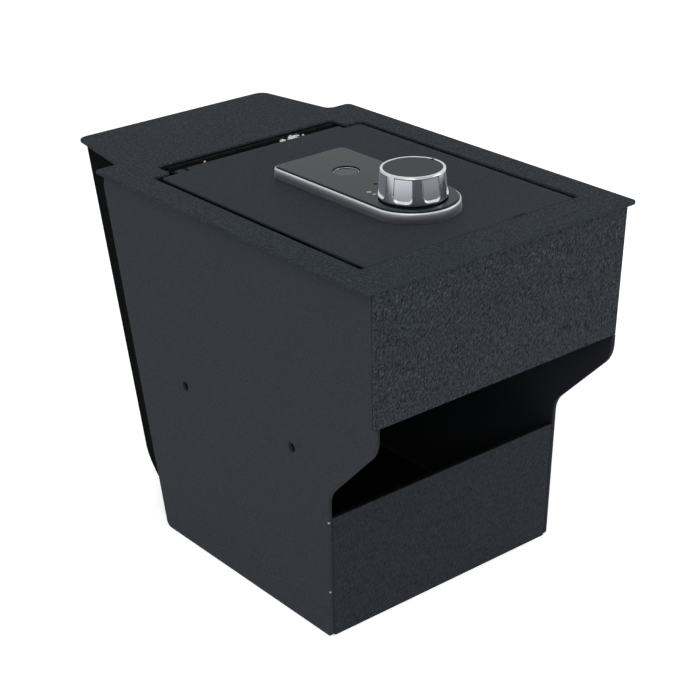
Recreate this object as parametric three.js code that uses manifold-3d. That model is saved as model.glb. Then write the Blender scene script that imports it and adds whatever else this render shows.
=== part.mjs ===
// Centre-console safe: a deep sheet-steel box under a T-shaped top plate, with a hinged lid and a
// fingerprint lock. Millimetres, +Z up. The front faces -Y and the hinge is at the back of the lid.
// Shapes are drawn with y = 0 at the front edge of the top plate and z = 0 at its upper face, and
// every finished mesh is then moved so that the origin is at the bottom centre of the whole safe.
import * as THREE from 'three';
import { mergeVertices } from 'three/addons/utils/BufferGeometryUtils.js';
import Module from 'manifold-3d';

const wasm = await Module();
wasm.setup();

// Overall sizes
const PLATE_HALF = 108;
const PLATE_DEPTH = 281.5;
const TAB_DEPTH = 67.2;
const NOTCH = 18.2;
const TAB_TAPER = 10.1;
const HEIGHT = 258;
const TAB_HALF_FRONT = PLATE_HALF - NOTCH;
const TAB_HALF_BACK = TAB_HALF_FRONT - TAB_TAPER;
const TOTAL_DEPTH = PLATE_DEPTH + TAB_DEPTH;

// Sheet metal
const PLATE_T = 1.9;
const SHEET = 3.2;
const GAP = 0.3;
const PLATE_CORNER = 4.5;
const BACK_CORNER = 4;
const TAB_CORNER = 8;
const NOTCH_FILLET = 6;
const EDGE = 0.4;
const SHEET_EDGE = 0.3;

// Body: how far the plate stands out at the sides, how fast the walls narrow, and how the ends lean
const OVERHANG = 6.9;
const DRAFT = 0.0213;
const FRONT_INSET = 1.8;
const FRONT_LEAN = 0.047;
const FRONT_STEP = 46.2;
const LOW_LEAN = 0.0438;
const BACK_OUTSET = 2.9;
const BACK_LEAN = 0.1547;
const BACK_CLIP = 12;
const CLIP_INSET = 2;
const SLOT_TOP = -89.2;
const SLOT_HEIGHT = 80.8;
const CURVE_TOP = 15.7;
const CURVE_FOOT = 17;
const CURVE_TOP_R = 22;
const CURVE_FOOT_R = 20;
const FRONT_CORNER = 0.9;
const FOOT_FRONT_R = 3;
const FOOT_BACK_R = 5;
const HOLE_FRONT_Y = 89.2;
const HOLE_SPACING = 115.3;
const HOLE_Z = -133.1;
const BOLT_HOLE_R = 3.3;
const MAT_T = 3;
const MAT_CLEAR = 3.5;
const BODY_HALF = PLATE_HALF - OVERHANG;
const FRONT_TOP_Y = FRONT_INSET;
const LOW_TOP_Y = FRONT_INSET + FRONT_STEP;
const BACK_TOP_Y = PLATE_DEPTH + BACK_OUTSET;
const SLOT_BOTTOM = SLOT_TOP - SLOT_HEIGHT;
const FLOOR_TOP = -HEIGHT + SHEET;
const UNDER_PLATE = -PLATE_T - GAP;

// Rear extension
const EXT_INSET = 4.7;
const EXT_BACK_INSET = 2.9;
const EXT_LEAN = 0.181;
const FOOT_RISE = 19.6;
const FOOT_BEND = 12;
const FOOT_RUN = 22;
const WINDOW_BORDER = 8;
const WINDOW_HEAD = 18;
const WINDOW_SILL = 22;
const EXT_HALF = TAB_HALF_BACK - EXT_INSET;
const EXT_TOP_Y = TOTAL_DEPTH - EXT_BACK_INSET;

// Lid opening and lid
const SIDE_BORDER = 20.4;
const NECK_STEP = 14.1;
const OPEN_FRONT = 30.4;
const BACK_BORDER = 22;
const NECK_DEPTH = 16.5;
const LID_SIDE_GAP = 4.3;
const LID_FRONT_GAP = 0.8;
const LID_BACK_GAP = 11.7;
const LID_RECESS = 0.3;
const LID_CORNER = 3;
const NICK_X = 33;
const NICK_WIDTH = 9.5;
const NICK_DEPTH = 2;
const LID_SLOT_INSET = 6.2;
const LID_SLOT_WIDTH = 3;
const LID_T = PLATE_T - LID_RECESS;
const STRIKE_INSET = 27.6;
const STRIKE_REACH = 9.1;
const STRIKE_DEPTH = 27.5;
const STRIKE_T = 3;
const OPEN_HALF = PLATE_HALF - SIDE_BORDER;
const OPEN_NECK_HALF = OPEN_HALF - NECK_STEP;
const OPEN_BACK = PLATE_DEPTH - BACK_BORDER;
const OPEN_STEP = OPEN_BACK - NECK_DEPTH;
const LID_BACK = OPEN_BACK - LID_BACK_GAP;
const STRIKE_BACK = OPEN_FRONT + STRIKE_REACH;

// Hinge
const LEAF_T = 1.5;
const AXIS_INSET = 6.9;
const BARREL_R = 2.6;
const BORE_R = 1.5;
const PIN_R = 1.2;
const KNUCKLES = 10;
const KNUCKLE_GAP = 0.4;
const MOVING_LEAF = 24.6;
const FIXED_LEAF = 20.4;
const HINGE_Y = OPEN_BACK - AXIS_INSET;
const HINGE_Z = -PLATE_T - GAP - LEAF_T / 2;
const HINGE_HALF = OPEN_NECK_HALF - LID_SIDE_GAP;

// Lock module on the lid
const LID_TOP = -LID_RECESS;
const LID_UNDER = -PLATE_T;
const MODULE_HALF = 30;
const MODULE_SETBACK = 54.8;
const MODULE_LENGTH = 135.8;
const MODULE_T = 7;
const MODULE_CORNER = 6;
const RIM = 1.5;
const RIM_CHAMFER = 1;
const BASE_T = 1.9;
const BASE_LAP = 0.6;
const GLASS_T = 2;
const GLASS_SINK = 0.2;
const GLASS_GAP = 0.35;
const BOARD_T = 1.6;
const BOARD_GAP = 0.4;
const SENSOR_SETBACK = 65;
const SENSOR_R = 8.4;
const SENSOR_WALL = 0.5;
const SENSOR_H = 2.6;
const PAD_SINK = 2;
const MODULE_FRONT_Y = OPEN_FRONT + LID_FRONT_GAP + MODULE_SETBACK;
const MODULE_BACK_Y = MODULE_FRONT_Y + MODULE_LENGTH - MODULE_HALF;
const MODULE_TOP = LID_TOP + GAP + MODULE_T;
const GLASS_TOP = MODULE_TOP - GLASS_SINK;
const SENSOR_Y = MODULE_FRONT_Y + SENSOR_SETBACK;

// Knob
const KNOB_FOOT_R = 21.8;
const KNOB_TOP_R = 20.15;
const KNOB_H = 17.5;
const SKIRT_H = 0.8;
const CAP_R = 18;
const CAP_T = 1.4;
const FLATS = 7;
const FLAT_HALF_ANGLE = THREE.MathUtils.degToRad(16);
const FLAT_TURN = THREE.MathUtils.degToRad(-2);
const FLAT_FOOT = 0.9;
const FLAT_HEAD = 1.5;
const FLAT_CORNER = 3;
const INDEX_ANGLE = THREE.MathUtils.degToRad(8);
const INDEX_WIDTH = 1.8;
const COLLAR_H = 1;
const COLLAR_INSET = 1.4;
const SPINDLE_R = 4;
const SPINDLE_CLEAR = 2;
const SPINDLE_REACH = 10.6;
const CAM_T = 3;
const CAM_LENGTH = 56;
const CAM_HALF = 8;
const HUB_R = 10;
const CAM_CORNER = 3;
const NUT_R = 7.2;
const NUT_T = 3.6;
const SPINDLE_TAIL = 1.4;
const KNOB_FOOT_Z = GLASS_TOP + GAP + COLLAR_H + GAP;
const KNOB_TOP_Z = KNOB_FOOT_Z + KNOB_H;
const SPINDLE_TOP = KNOB_FOOT_Z + SPINDLE_REACH;
const CAM_TOP = -PLATE_T - GAP - STRIKE_T - GAP;
const SPINDLE_FOOT = CAM_TOP - CAM_T - GAP - NUT_T - SPINDLE_TAIL;

// Battery housing under the lid
const BOX_HALF = 29;
const BOX_SETBACK = 17;
const BOX_BACK_INSET = 3.5;
const BOX_DEPTH = 15;
const BOX_WALL = 2;
const BOX_CORNER = 4;
const CELL_R = 5.25;
const CELL_LENGTH = 44.5;
const CELL_SETBACK = 18;
const CELL_PITCH = 11.5;
const CELLS = 3;
const POST_R = 4;
const POST_SETBACK = 61;
const SCREW_FRONT_SETBACK = 9;
const SCREW_BACK_SETBACK = 10;
const SCREW_R = 2;
const SCREW_HEAD_R = 3.8;
const SCREW_HEAD_H = 2.4;
const SCREW_CLEAR = 0.35;
const COVER_SCREW_R = 1.5;
const COVER_HEAD_R = 3.2;
const COVER_HEAD_H = 1.8;
const COVER_SCREW_REACH = 9;
const BOX_FRONT = MODULE_FRONT_Y + BOX_SETBACK;
const BOX_BACK = MODULE_BACK_Y - BOX_BACK_INSET;
const BOX_TOP = LID_UNDER - GAP;
const BOX_FOOT = BOX_TOP - BOX_DEPTH;
const COVER_SCREW_Y = BOX_FRONT + POST_SETBACK;
const SCREW_Y = [BOX_FRONT + SCREW_FRONT_SETBACK, BOX_BACK - SCREW_BACK_SETBACK];

const group = new THREE.Group();

const steel = (color, roughness = 0.6) => new THREE.MeshStandardMaterial({ color, roughness, metalness: 0.3 });
const chrome = (color = 0xd0d2d4) => new THREE.MeshStandardMaterial({ color, roughness: 0.12, metalness: 1 });
const plastic = (color, roughness = 0.5) => new THREE.MeshStandardMaterial({ color, roughness, metalness: 0 });

const frontY = (z) => FRONT_TOP_Y - FRONT_LEAN * z;
const lowY = (z) => LOW_TOP_Y - LOW_LEAN * z;
const backY = (z) => BACK_TOP_Y + BACK_LEAN * z;
const extY = (z) => EXT_TOP_Y + EXT_LEAN * z;

// The rear wall's foot rolls forward: (y, z) points from the straight wall down to the floor
function extensionFoot() {
  const cornerZ = -HEIGHT + FOOT_RISE;
  const start = new THREE.Vector2(extY(cornerZ + FOOT_BEND), cornerZ + FOOT_BEND);
  const corner = new THREE.Vector2(extY(cornerZ), cornerZ);
  const end = new THREE.Vector2(corner.x - FOOT_RUN, -HEIGHT + GAP);
  return new THREE.QuadraticBezierCurve(start, corner, end).getPoints(5).map((p) => [p.x, p.y]);
}

function clean(geometry) {
  const bare = geometry.clone();
  bare.deleteAttribute('normal');
  bare.deleteAttribute('uv');
  return mergeVertices(bare, 1e-4);
}

function solid(geometry) {
  const merged = clean(geometry);
  const vertProperties = new Float32Array(merged.attributes.position.array);
  const triVerts = new Uint32Array(merged.index.array);
  return new wasm.Manifold(new wasm.Mesh({ numProp: 3, vertProperties, triVerts }));
}

function fromSolid(body) {
  const mesh = body.getMesh();
  const geometry = new THREE.BufferGeometry();
  geometry.setAttribute('position', new THREE.BufferAttribute(new Float32Array(mesh.vertProperties), 3));
  geometry.setIndex(new THREE.BufferAttribute(new Uint32Array(mesh.triVerts), 1));
  return geometry;
}

function cut(geometry, ...tools) {
  let body = solid(geometry);
  for (const tool of tools) {
    body = body.subtract(solid(tool));
  }
  return fromSolid(body);
}

function join(...geometries) {
  let body = solid(geometries[0]);
  for (const other of geometries.slice(1)) {
    body = body.add(solid(other));
  }
  return fromSolid(body);
}

function piece(name, geometry, material) {
  const placed = clean(geometry);
  placed.translate(0, -TOTAL_DEPTH / 2, HEIGHT);
  placed.computeVertexNormals();
  const mesh = new THREE.Mesh(placed, material);
  mesh.name = name;
  group.add(mesh);
  return mesh;
}

// Narrows a body piece evenly towards the bottom, as the drafted side walls do
function drafted(geometry) {
  const position = geometry.attributes.position;
  for (let i = 0; i < position.count; i += 1) {
    position.setX(i, position.getX(i) * (1 + (DRAFT * position.getZ(i)) / BODY_HALF));
  }
  return geometry;
}

// Slides every point back as it goes down, for a wall that leans
function leaning(geometry, lean) {
  const position = geometry.attributes.position;
  for (let i = 0; i < position.count; i += 1) {
    position.setY(i, position.getY(i) - lean * position.getZ(i));
  }
  return geometry;
}

function rounded(points, radii) {
  const shape = new THREE.Shape();
  const count = points.length;
  points.forEach((p, i) => {
    const before = new THREE.Vector2(...points[(i + count - 1) % count]);
    const here = new THREE.Vector2(...p);
    const after = new THREE.Vector2(...points[(i + 1) % count]);
    const radius = Array.isArray(radii) ? radii[i] : radii;
    const a = before.clone().sub(here).normalize();
    const b = after.clone().sub(here).normalize();
    const half = a.angleTo(b) / 2;
    const reach = radius / Math.tan(half);
    const start = here.clone().addScaledVector(a, reach);
    const end = here.clone().addScaledVector(b, reach);
    if (i === 0) {
      shape.moveTo(start.x, start.y);
    } else {
      shape.lineTo(start.x, start.y);
    }
    if (radius > 0) {
      shape.quadraticCurveTo(here.x, here.y, end.x, end.y);
    }
  });
  shape.closePath();
  return shape;
}

function circlePath(x, y, radius, segments = 32) {
  const path = new THREE.Path();
  for (let i = 0; i <= segments; i += 1) {
    const angle = -(i / segments) * Math.PI * 2;
    const px = x + radius * Math.cos(angle);
    const py = y + radius * Math.sin(angle);
    if (i === 0) {
      path.moveTo(px, py);
    } else {
      path.lineTo(px, py);
    }
  }
  return path;
}

// A flat sheet: the shape is its outline and the bevel only softens its edges
function sheet(shape, thickness, bevel = 0, curveSegments = 6) {
  return new THREE.ExtrudeGeometry(shape, {
    depth: thickness - 2 * bevel,
    bevelEnabled: bevel > 0,
    bevelThickness: bevel,
    bevelSize: bevel,
    bevelOffset: -bevel,
    bevelSegments: 1,
    curveSegments,
  }).translate(0, 0, bevel);
}

// Shapes drawn as (y, z) and extruded along x from x0
function alongX(geometry, x0) {
  const turn = new THREE.Matrix4().set(0, 0, 1, x0, 1, 0, 0, 0, 0, 1, 0, 0, 0, 0, 0, 1);
  return geometry.applyMatrix4(turn);
}

// Shapes drawn as (x, z) and extruded towards +y from y0
function alongY(geometry, y0, thickness) {
  const turn = new THREE.Matrix4().set(1, 0, 0, 0, 0, 0, -1, y0 + thickness, 0, 1, 0, 0, 0, 0, 0, 1);
  return geometry.applyMatrix4(turn);
}

function box(x0, x1, y0, y1, z0, z1) {
  return new THREE.BoxGeometry(x1 - x0, y1 - y0, z1 - z0).translate((x0 + x1) / 2, (y0 + y1) / 2, (z0 + z1) / 2);
}

function rod(radius, z0, z1, x, y, segments = 32) {
  const cylinder = new THREE.CylinderGeometry(radius, radius, z1 - z0, segments);
  return cylinder.rotateX(Math.PI / 2).translate(x, y, (z0 + z1) / 2);
}

function rodX(radius, x0, x1, y, z, segments = 20) {
  const cylinder = new THREE.CylinderGeometry(radius, radius, x1 - x0, segments);
  return cylinder.rotateZ(Math.PI / 2).translate((x0 + x1) / 2, y, z);
}

function lathe(profile, x, y, segments = 48) {
  const points = profile.map((p) => new THREE.Vector2(...p));
  const turned = new THREE.LatheGeometry(points, segments);
  return turned.rotateX(Math.PI / 2).translate(x, y, 0);
}

// Cross-section of a sheet that follows a line of (y, z) points, thickened to one side, with level ends
function followed(points, thickness) {
  const line = points.map((p) => new THREE.Vector2(...p));
  const normals = line.slice(1).map((p, i) => {
    const d = p.clone().sub(line[i]).normalize();
    return new THREE.Vector2(d.y, -d.x);
  });
  const inner = line.map((p, i) => {
    const a = normals[Math.max(i - 1, 0)];
    const b = normals[Math.min(i, normals.length - 1)];
    if (i === 0 || i === line.length - 1) {
      return new THREE.Vector2(p.x + thickness / (i ? a : b).x, p.y);
    }
    const mid = a.clone().add(b).normalize();
    return p.clone().addScaledVector(mid, thickness / mid.dot(a));
  });
  return new THREE.Shape([...line, ...inner.reverse()]);
}

// Outline of the lock module: a half round at the front and rounded corners at the back
function moduleOutline(inset) {
  const half = MODULE_HALF - inset;
  const back = MODULE_BACK_Y - inset;
  const corner = Math.max(MODULE_CORNER - inset, 0.6);
  const points = [];
  for (let i = 0; i <= 36; i += 1) {
    const angle = Math.PI + (i / 36) * Math.PI;
    points.push([half * Math.cos(angle), MODULE_FRONT_Y + half * Math.sin(angle)]);
  }
  for (const side of [1, -1]) {
    for (let i = 0; i <= 6; i += 1) {
      const turn = (i / 6) * (Math.PI / 2);
      const angle = side > 0 ? turn : Math.PI / 2 + turn;
      points.push([side * (half - corner) + corner * Math.cos(angle), back - corner + corner * Math.sin(angle)]);
    }
  }
  return points;
}

const outlineShape = (inset) => new THREE.Shape(moduleOutline(inset).map((p) => new THREE.Vector2(...p)));

// A ring round the module: a closed profile of [inset, z] points carried along the outline
function moduleRing(profile) {
  const rows = profile.map(([inset, z]) => moduleOutline(inset).map(([x, y]) => [x, y, z]));
  const count = rows[0].length;
  const position = rows.flat(2);
  const index = [];
  rows.forEach((row, j) => {
    const next = (j + 1) % rows.length;
    for (let i = 0; i < count; i += 1) {
      const k = (i + 1) % count;
      index.push(j * count + i, j * count + k, next * count + k);
      index.push(j * count + i, next * count + k, next * count + i);
    }
  });
  const geometry = new THREE.BufferGeometry();
  geometry.setAttribute('position', new THREE.Float32BufferAttribute(position, 3));
  geometry.setIndex(index);
  return geometry;
}

// Half widths and step of the lid opening, or of something that stays clear of it
function openingPoints(clear) {
  const side = OPEN_HALF - clear;
  const neck = OPEN_NECK_HALF - clear;
  const step = OPEN_STEP - clear;
  return { side, neck, step };
}

function topPlate() {
  const half = PLATE_HALF;
  const back = PLATE_DEPTH;
  const end = TOTAL_DEPTH;
  const outline = rounded(
    [
      [-half, 0], [half, 0], [half, back], [TAB_HALF_FRONT, back],
      [TAB_HALF_BACK, end], [-TAB_HALF_BACK, end], [-TAB_HALF_FRONT, back], [-half, back],
    ],
    [PLATE_CORNER, PLATE_CORNER, BACK_CORNER, NOTCH_FILLET, TAB_CORNER, TAB_CORNER, NOTCH_FILLET, BACK_CORNER],
  );
  const { side, neck, step } = openingPoints(0);
  const hole = rounded(
    [
      [-side, OPEN_FRONT], [-side, step], [-neck, step], [-neck, OPEN_BACK],
      [neck, OPEN_BACK], [neck, step], [side, step], [side, OPEN_FRONT],
    ],
    [1, LID_CORNER, 1, LID_CORNER, LID_CORNER, 1, LID_CORNER, 1],
  );
  outline.holes.push(hole);
  piece('top_plate', sheet(outline, PLATE_T, EDGE).translate(0, 0, -PLATE_T), steel(0x34383b));
}

// The front edge runs down the upper front, back along the slope under the slot and down the lower front
function sideProfile() {
  const curveTop = SLOT_TOP - CURVE_TOP;
  const curveFoot = SLOT_BOTTOM + CURVE_FOOT;
  const shape = rounded(
    [
      [frontY(UNDER_PLATE) + SHEET + GAP, UNDER_PLATE],
      [frontY(SLOT_TOP) + SHEET + GAP, SLOT_TOP - GAP],
      [frontY(SLOT_TOP), SLOT_TOP - GAP],
      [frontY(curveTop), curveTop],
      [lowY(curveFoot), curveFoot],
      [lowY(-HEIGHT), -HEIGHT],
      [backY(-HEIGHT), -HEIGHT],
      [backY(-BACK_CLIP), -BACK_CLIP],
      [PLATE_DEPTH - CLIP_INSET, UNDER_PLATE],
    ],
    [0, 0, 0, CURVE_TOP_R, CURVE_FOOT_R, FOOT_FRONT_R, FOOT_BACK_R, 0, 0],
  );
  for (const y of [HOLE_FRONT_Y, HOLE_FRONT_Y + HOLE_SPACING]) {
    shape.holes.push(circlePath(y, HOLE_Z, BOLT_HOLE_R, 20));
  }
  return shape;
}

function sidePanels() {
  for (const [name, x0] of [['left_side_panel', -BODY_HALF], ['right_side_panel', BODY_HALF - SHEET]]) {
    piece(name, drafted(alongX(sheet(sideProfile(), SHEET, SHEET_EDGE), x0)), steel(0x33373b));
  }
}

// The upper front lies over the front edges of both side walls: a flat sheet, leant back
function frontUpperPanel() {
  const half = BODY_HALF;
  const section = rounded([[-half, 0], [half, 0], [half, SHEET], [-half, SHEET]], [FRONT_CORNER, FRONT_CORNER, 0, 0]);
  const body = sheet(section, UNDER_PLATE - SLOT_TOP, 0, 5).translate(0, FRONT_TOP_Y, SLOT_TOP);
  piece('front_upper_panel', drafted(leaning(body, FRONT_LEAN)), steel(0x31353a, 0.75));
}

function frontLowerPanel() {
  const half = BODY_HALF - SHEET - GAP;
  const shape = rounded([[-half, -HEIGHT], [half, -HEIGHT], [half, SLOT_BOTTOM], [-half, SLOT_BOTTOM]], 0);
  const body = alongY(sheet(shape, SHEET, SHEET_EDGE), LOW_TOP_Y, SHEET);
  piece('front_lower_panel', drafted(leaning(body, LOW_LEAN)), steel(0x2d3033));
}

function backPanel() {
  const half = BODY_HALF - SHEET - GAP;
  const foot = FLOOR_TOP + GAP;
  const line = [[PLATE_DEPTH - CLIP_INSET, UNDER_PLATE], [backY(-BACK_CLIP), -BACK_CLIP], [backY(foot), foot]];
  const wall = alongX(sheet(followed(line, SHEET), half * 2), -half);
  const side = EXT_HALF - WINDOW_BORDER;
  const sill = -HEIGHT + WINDOW_SILL;
  const window = box(-side, side, backY(sill) - 6 * SHEET, BACK_TOP_Y + 6 * SHEET, sill, -WINDOW_HEAD);
  piece('back_panel', drafted(cut(wall, window)), steel(0x2e3135));
}

function bottomPanel() {
  const half = BODY_HALF - SHEET - GAP;
  const neck = EXT_HALF - SHEET - GAP;
  const front = lowY(-HEIGHT) + SHEET + GAP;
  const step = backY(-HEIGHT) - CLIP_INSET;
  const end = extensionFoot().at(-1)[0] - 1.8 * SHEET;
  const shape = rounded(
    [[-half, front], [half, front], [half, step], [neck, step], [neck, end], [-neck, end], [-neck, step], [-half, step]],
    0,
  );
  piece('bottom_panel', drafted(sheet(shape, SHEET).translate(0, 0, -HEIGHT)), steel(0x2c2f33));
}

function extensionProfile() {
  const foot = extensionFoot().reverse();
  const points = [
    [backY(-BACK_CLIP) + GAP, UNDER_PLATE],
    [backY(-BACK_CLIP) + GAP, -BACK_CLIP],
    [backY(-HEIGHT) + GAP, -HEIGHT],
    [foot[0][0], -HEIGHT],
    ...foot,
    [extY(UNDER_PLATE), UNDER_PLATE],
  ];
  return new THREE.Shape(points.map((p) => new THREE.Vector2(...p)));
}

function extension() {
  for (const [name, x0] of [['extension_left_wall', -EXT_HALF], ['extension_right_wall', EXT_HALF - SHEET]]) {
    piece(name, drafted(alongX(sheet(extensionProfile(), SHEET), x0)), steel(0x24282b));
  }
  const half = EXT_HALF - SHEET - GAP;
  const line = [[extY(UNDER_PLATE), UNDER_PLATE], ...extensionFoot()];
  const wall = alongX(sheet(followed(line, SHEET), half * 2), -half);
  piece('extension_back_panel', drafted(wall), steel(0x24282b));
}

function floorMat() {
  const half = BODY_HALF - DRAFT * HEIGHT - SHEET - MAT_CLEAR;
  const front = lowY(-HEIGHT) + SHEET + MAT_CLEAR;
  const back = backY(-HEIGHT) - SHEET - MAT_CLEAR;
  const shape = rounded([[-half, front], [half, front], [half, back], [-half, back]], 2 * MAT_T);
  piece('floor_mat', sheet(shape, MAT_T, 0, 4).translate(0, 0, FLOOR_TOP + GAP), plastic(0x1c1d1f, 0.95));
}

function strikeBar() {
  const half = OPEN_HALF - STRIKE_INSET;
  const front = STRIKE_BACK - STRIKE_DEPTH;
  const shape = rounded([[-half, front], [half, front], [half, STRIKE_BACK], [-half, STRIKE_BACK]], STRIKE_T);
  piece('strike_bar', sheet(shape, STRIKE_T, 0, 4).translate(0, 0, UNDER_PLATE - STRIKE_T), steel(0x2a2d30));
}

function lidPanel() {
  const { side, neck, step } = openingPoints(LID_SIDE_GAP);
  const front = OPEN_FRONT + LID_FRONT_GAP;
  const nick = [NICK_X, NICK_X + NICK_WIDTH];
  const slot = [-neck + LID_SLOT_INSET, -neck + LID_SLOT_INSET + LID_SLOT_WIDTH];
  const outline = rounded(
    [
      [-side, front], [nick[0], front], [nick[0], front + NICK_DEPTH], [nick[1], front + NICK_DEPTH], [nick[1], front],
      [side, front], [side, step], [neck, step], [neck, LID_BACK], [slot[1], LID_BACK], [slot[1], step],
      [slot[0], step], [slot[0], LID_BACK], [-neck, LID_BACK], [-neck, step], [-side, step],
    ],
    [2, 0, 0, 0, 0, 2, LID_CORNER, 0, 1, 0, 0, 0, 0, 1, 0, LID_CORNER],
  );
  outline.holes.push(circlePath(0, MODULE_FRONT_Y, SPINDLE_R + 3 * GAP));
  for (const y of SCREW_Y) {
    outline.holes.push(circlePath(0, y, SCREW_R + SCREW_CLEAR, 20));
  }
  piece('lid_panel', sheet(outline, LID_T, EDGE - 0.1).translate(0, 0, LID_UNDER), steel(0x363a3e, 0.5));
}

// Two leaves whose knuckles take turns along the pin
function hinge() {
  const pitch = (2 * HINGE_HALF) / KNUCKLES;
  const leafTop = HINGE_Z + LEAF_T / 2;
  const leafBottom = HINGE_Z - LEAF_T / 2;
  const clear = BARREL_R + KNUCKLE_GAP;
  const bore = rodX(BORE_R, -HINGE_HALF - 1, HINGE_HALF + 1, HINGE_Y, HINGE_Z, 16);
  const leaves = [
    ['hinge_moving_leaf', box(-HINGE_HALF, HINGE_HALF, HINGE_Y - MOVING_LEAF, HINGE_Y - clear, leafBottom, leafTop), 0, -1],
    ['hinge_fixed_leaf', box(-HINGE_HALF, HINGE_HALF, HINGE_Y + clear, HINGE_Y + FIXED_LEAF, leafBottom, leafTop), 1, 1],
  ];
  for (const [name, flat, odd, side] of leaves) {
    const parts = [flat];
    for (let i = odd; i < KNUCKLES; i += 2) {
      const x0 = -HINGE_HALF + i * pitch + KNUCKLE_GAP / 2;
      const x1 = x0 + pitch - KNUCKLE_GAP;
      const y0 = side < 0 ? HINGE_Y - clear - LEAF_T : HINGE_Y;
      const y1 = side < 0 ? HINGE_Y : HINGE_Y + clear + LEAF_T;
      parts.push(rodX(BARREL_R, x0, x1, HINGE_Y, HINGE_Z, 24));
      parts.push(box(x0, x1, y0, y1, leafBottom, leafTop));
    }
    piece(name, cut(join(...parts), bore), steel(0x26292c, 0.5));
  }
  piece('hinge_pin', rodX(PIN_R, -HINGE_HALF, HINGE_HALF, HINGE_Y, HINGE_Z, 16), chrome(0x9a9da0));
}

function lockBezel() {
  const floor = LID_TOP + GAP;
  const ring = moduleRing([
    [0, floor],
    [0, MODULE_TOP - RIM_CHAMFER],
    [RIM_CHAMFER, MODULE_TOP],
    [RIM, MODULE_TOP],
    [RIM, floor],
  ]);
  const base = sheet(outlineShape(RIM - BASE_LAP), BASE_T).translate(0, 0, floor);
  const bores = [rod(SPINDLE_R + SPINDLE_CLEAR, floor - BASE_T, floor + 2 * BASE_T, 0, MODULE_FRONT_Y)];
  for (const y of SCREW_Y) {
    bores.push(rod(SCREW_R + SCREW_CLEAR, floor - BASE_T, floor + 2 * BASE_T, 0, y, 16));
  }
  piece('lock_bezel', cut(join(ring, base), ...bores), chrome(0xb4b7ba));
}

function circuitBoard() {
  const shape = outlineShape(RIM + 2 * GLASS_GAP);
  shape.holes.push(circlePath(0, MODULE_FRONT_Y, SPINDLE_R + SPINDLE_CLEAR));
  const z = LID_TOP + GAP + BASE_T + BOARD_GAP;
  piece('circuit_board', sheet(shape, BOARD_T).translate(0, 0, z), plastic(0x1f4030));
}

function glassFace() {
  const shape = outlineShape(RIM + GLASS_GAP);
  shape.holes.push(circlePath(0, MODULE_FRONT_Y, SPINDLE_R + SPINDLE_CLEAR));
  shape.holes.push(circlePath(0, SENSOR_Y, SENSOR_R + GAP, 40));
  const body = sheet(shape, GLASS_T).translate(0, 0, GLASS_TOP - GLASS_T);
  piece('glass_face', body, new THREE.MeshStandardMaterial({ color: 0x0b0c0d, roughness: 0.05 }));
}

function sensor() {
  const top = GLASS_TOP;
  const foot = top - SENSOR_H;
  const inside = SENSOR_R - SENSOR_WALL;
  const ring = lathe(
    [[SENSOR_R, foot], [SENSOR_R, top - 0.1], [SENSOR_R - 0.1, top], [inside + 0.15, top], [inside, top - PAD_SINK],
      [inside, foot], [SENSOR_R, foot]],
    0,
    SENSOR_Y,
    40,
  );
  piece('sensor_ring', ring, chrome());
  piece('sensor_pad', rod(inside - GAP, foot, top - PAD_SINK, 0, SENSOR_Y, 36), plastic(0x17181a, 0.4));
}

// Flat cutter: a tall rounded rectangle pushed out along one radius and tilted with the knob's taper
function flatCutter(angle) {
  const chord = (KNOB_FOOT_R - 0.6) * Math.sin(FLAT_HALF_ANGLE);
  const reach = (KNOB_FOOT_R - 0.35) * Math.cos(FLAT_HALF_ANGLE);
  const top = KNOB_H - FLAT_HEAD;
  const outline = [[-chord, FLAT_FOOT], [chord, FLAT_FOOT], [chord, top], [-chord, top]];
  const tool = sheet(rounded(outline, [FLAT_CORNER, FLAT_CORNER, 0, 0]), FLAT_CORNER * 2, 0, 5);
  tool.rotateX(Math.PI / 2);
  tool.rotateZ(Math.PI);
  tool.rotateX(Math.atan((KNOB_FOOT_R - KNOB_TOP_R) / KNOB_H));
  tool.translate(0, reach, 0);
  tool.rotateZ(angle - Math.PI / 2);
  return tool.translate(0, MODULE_FRONT_Y, KNOB_FOOT_Z);
}

// Turned blank: a round skirt, a slight taper, a rolled rim, a recess for the cap and a blind bore
function knobBlank() {
  const foot = KNOB_FOOT_Z;
  const top = KNOB_TOP_Z;
  const recess = CAP_R + GAP;
  const floor = top - CAP_T - 0.4;
  return lathe(
    [
      [SPINDLE_R + GAP, foot], [KNOB_FOOT_R - 0.4, foot], [KNOB_FOOT_R, foot + 0.4], [KNOB_FOOT_R, foot + SKIRT_H],
      [KNOB_TOP_R, top - 0.9], [KNOB_TOP_R - 0.35, top - 0.25], [KNOB_TOP_R - 0.9, top], [recess + 0.2, top],
      [recess, top - 0.2], [recess, floor], [0, floor],
      [0, SPINDLE_TOP + GAP], [SPINDLE_R + GAP, SPINDLE_TOP + GAP], [SPINDLE_R + GAP, foot],
    ],
    0,
    MODULE_FRONT_Y,
    70,
  );
}

function knob() {
  const tools = [];
  for (let i = 0; i < FLATS; i += 1) {
    tools.push(flatCutter(INDEX_ANGLE + FLAT_TURN + (i * 2 * Math.PI) / FLATS));
  }
  piece('knob', cut(knobBlank(), ...tools), chrome(0xc8cacc));
}

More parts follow.
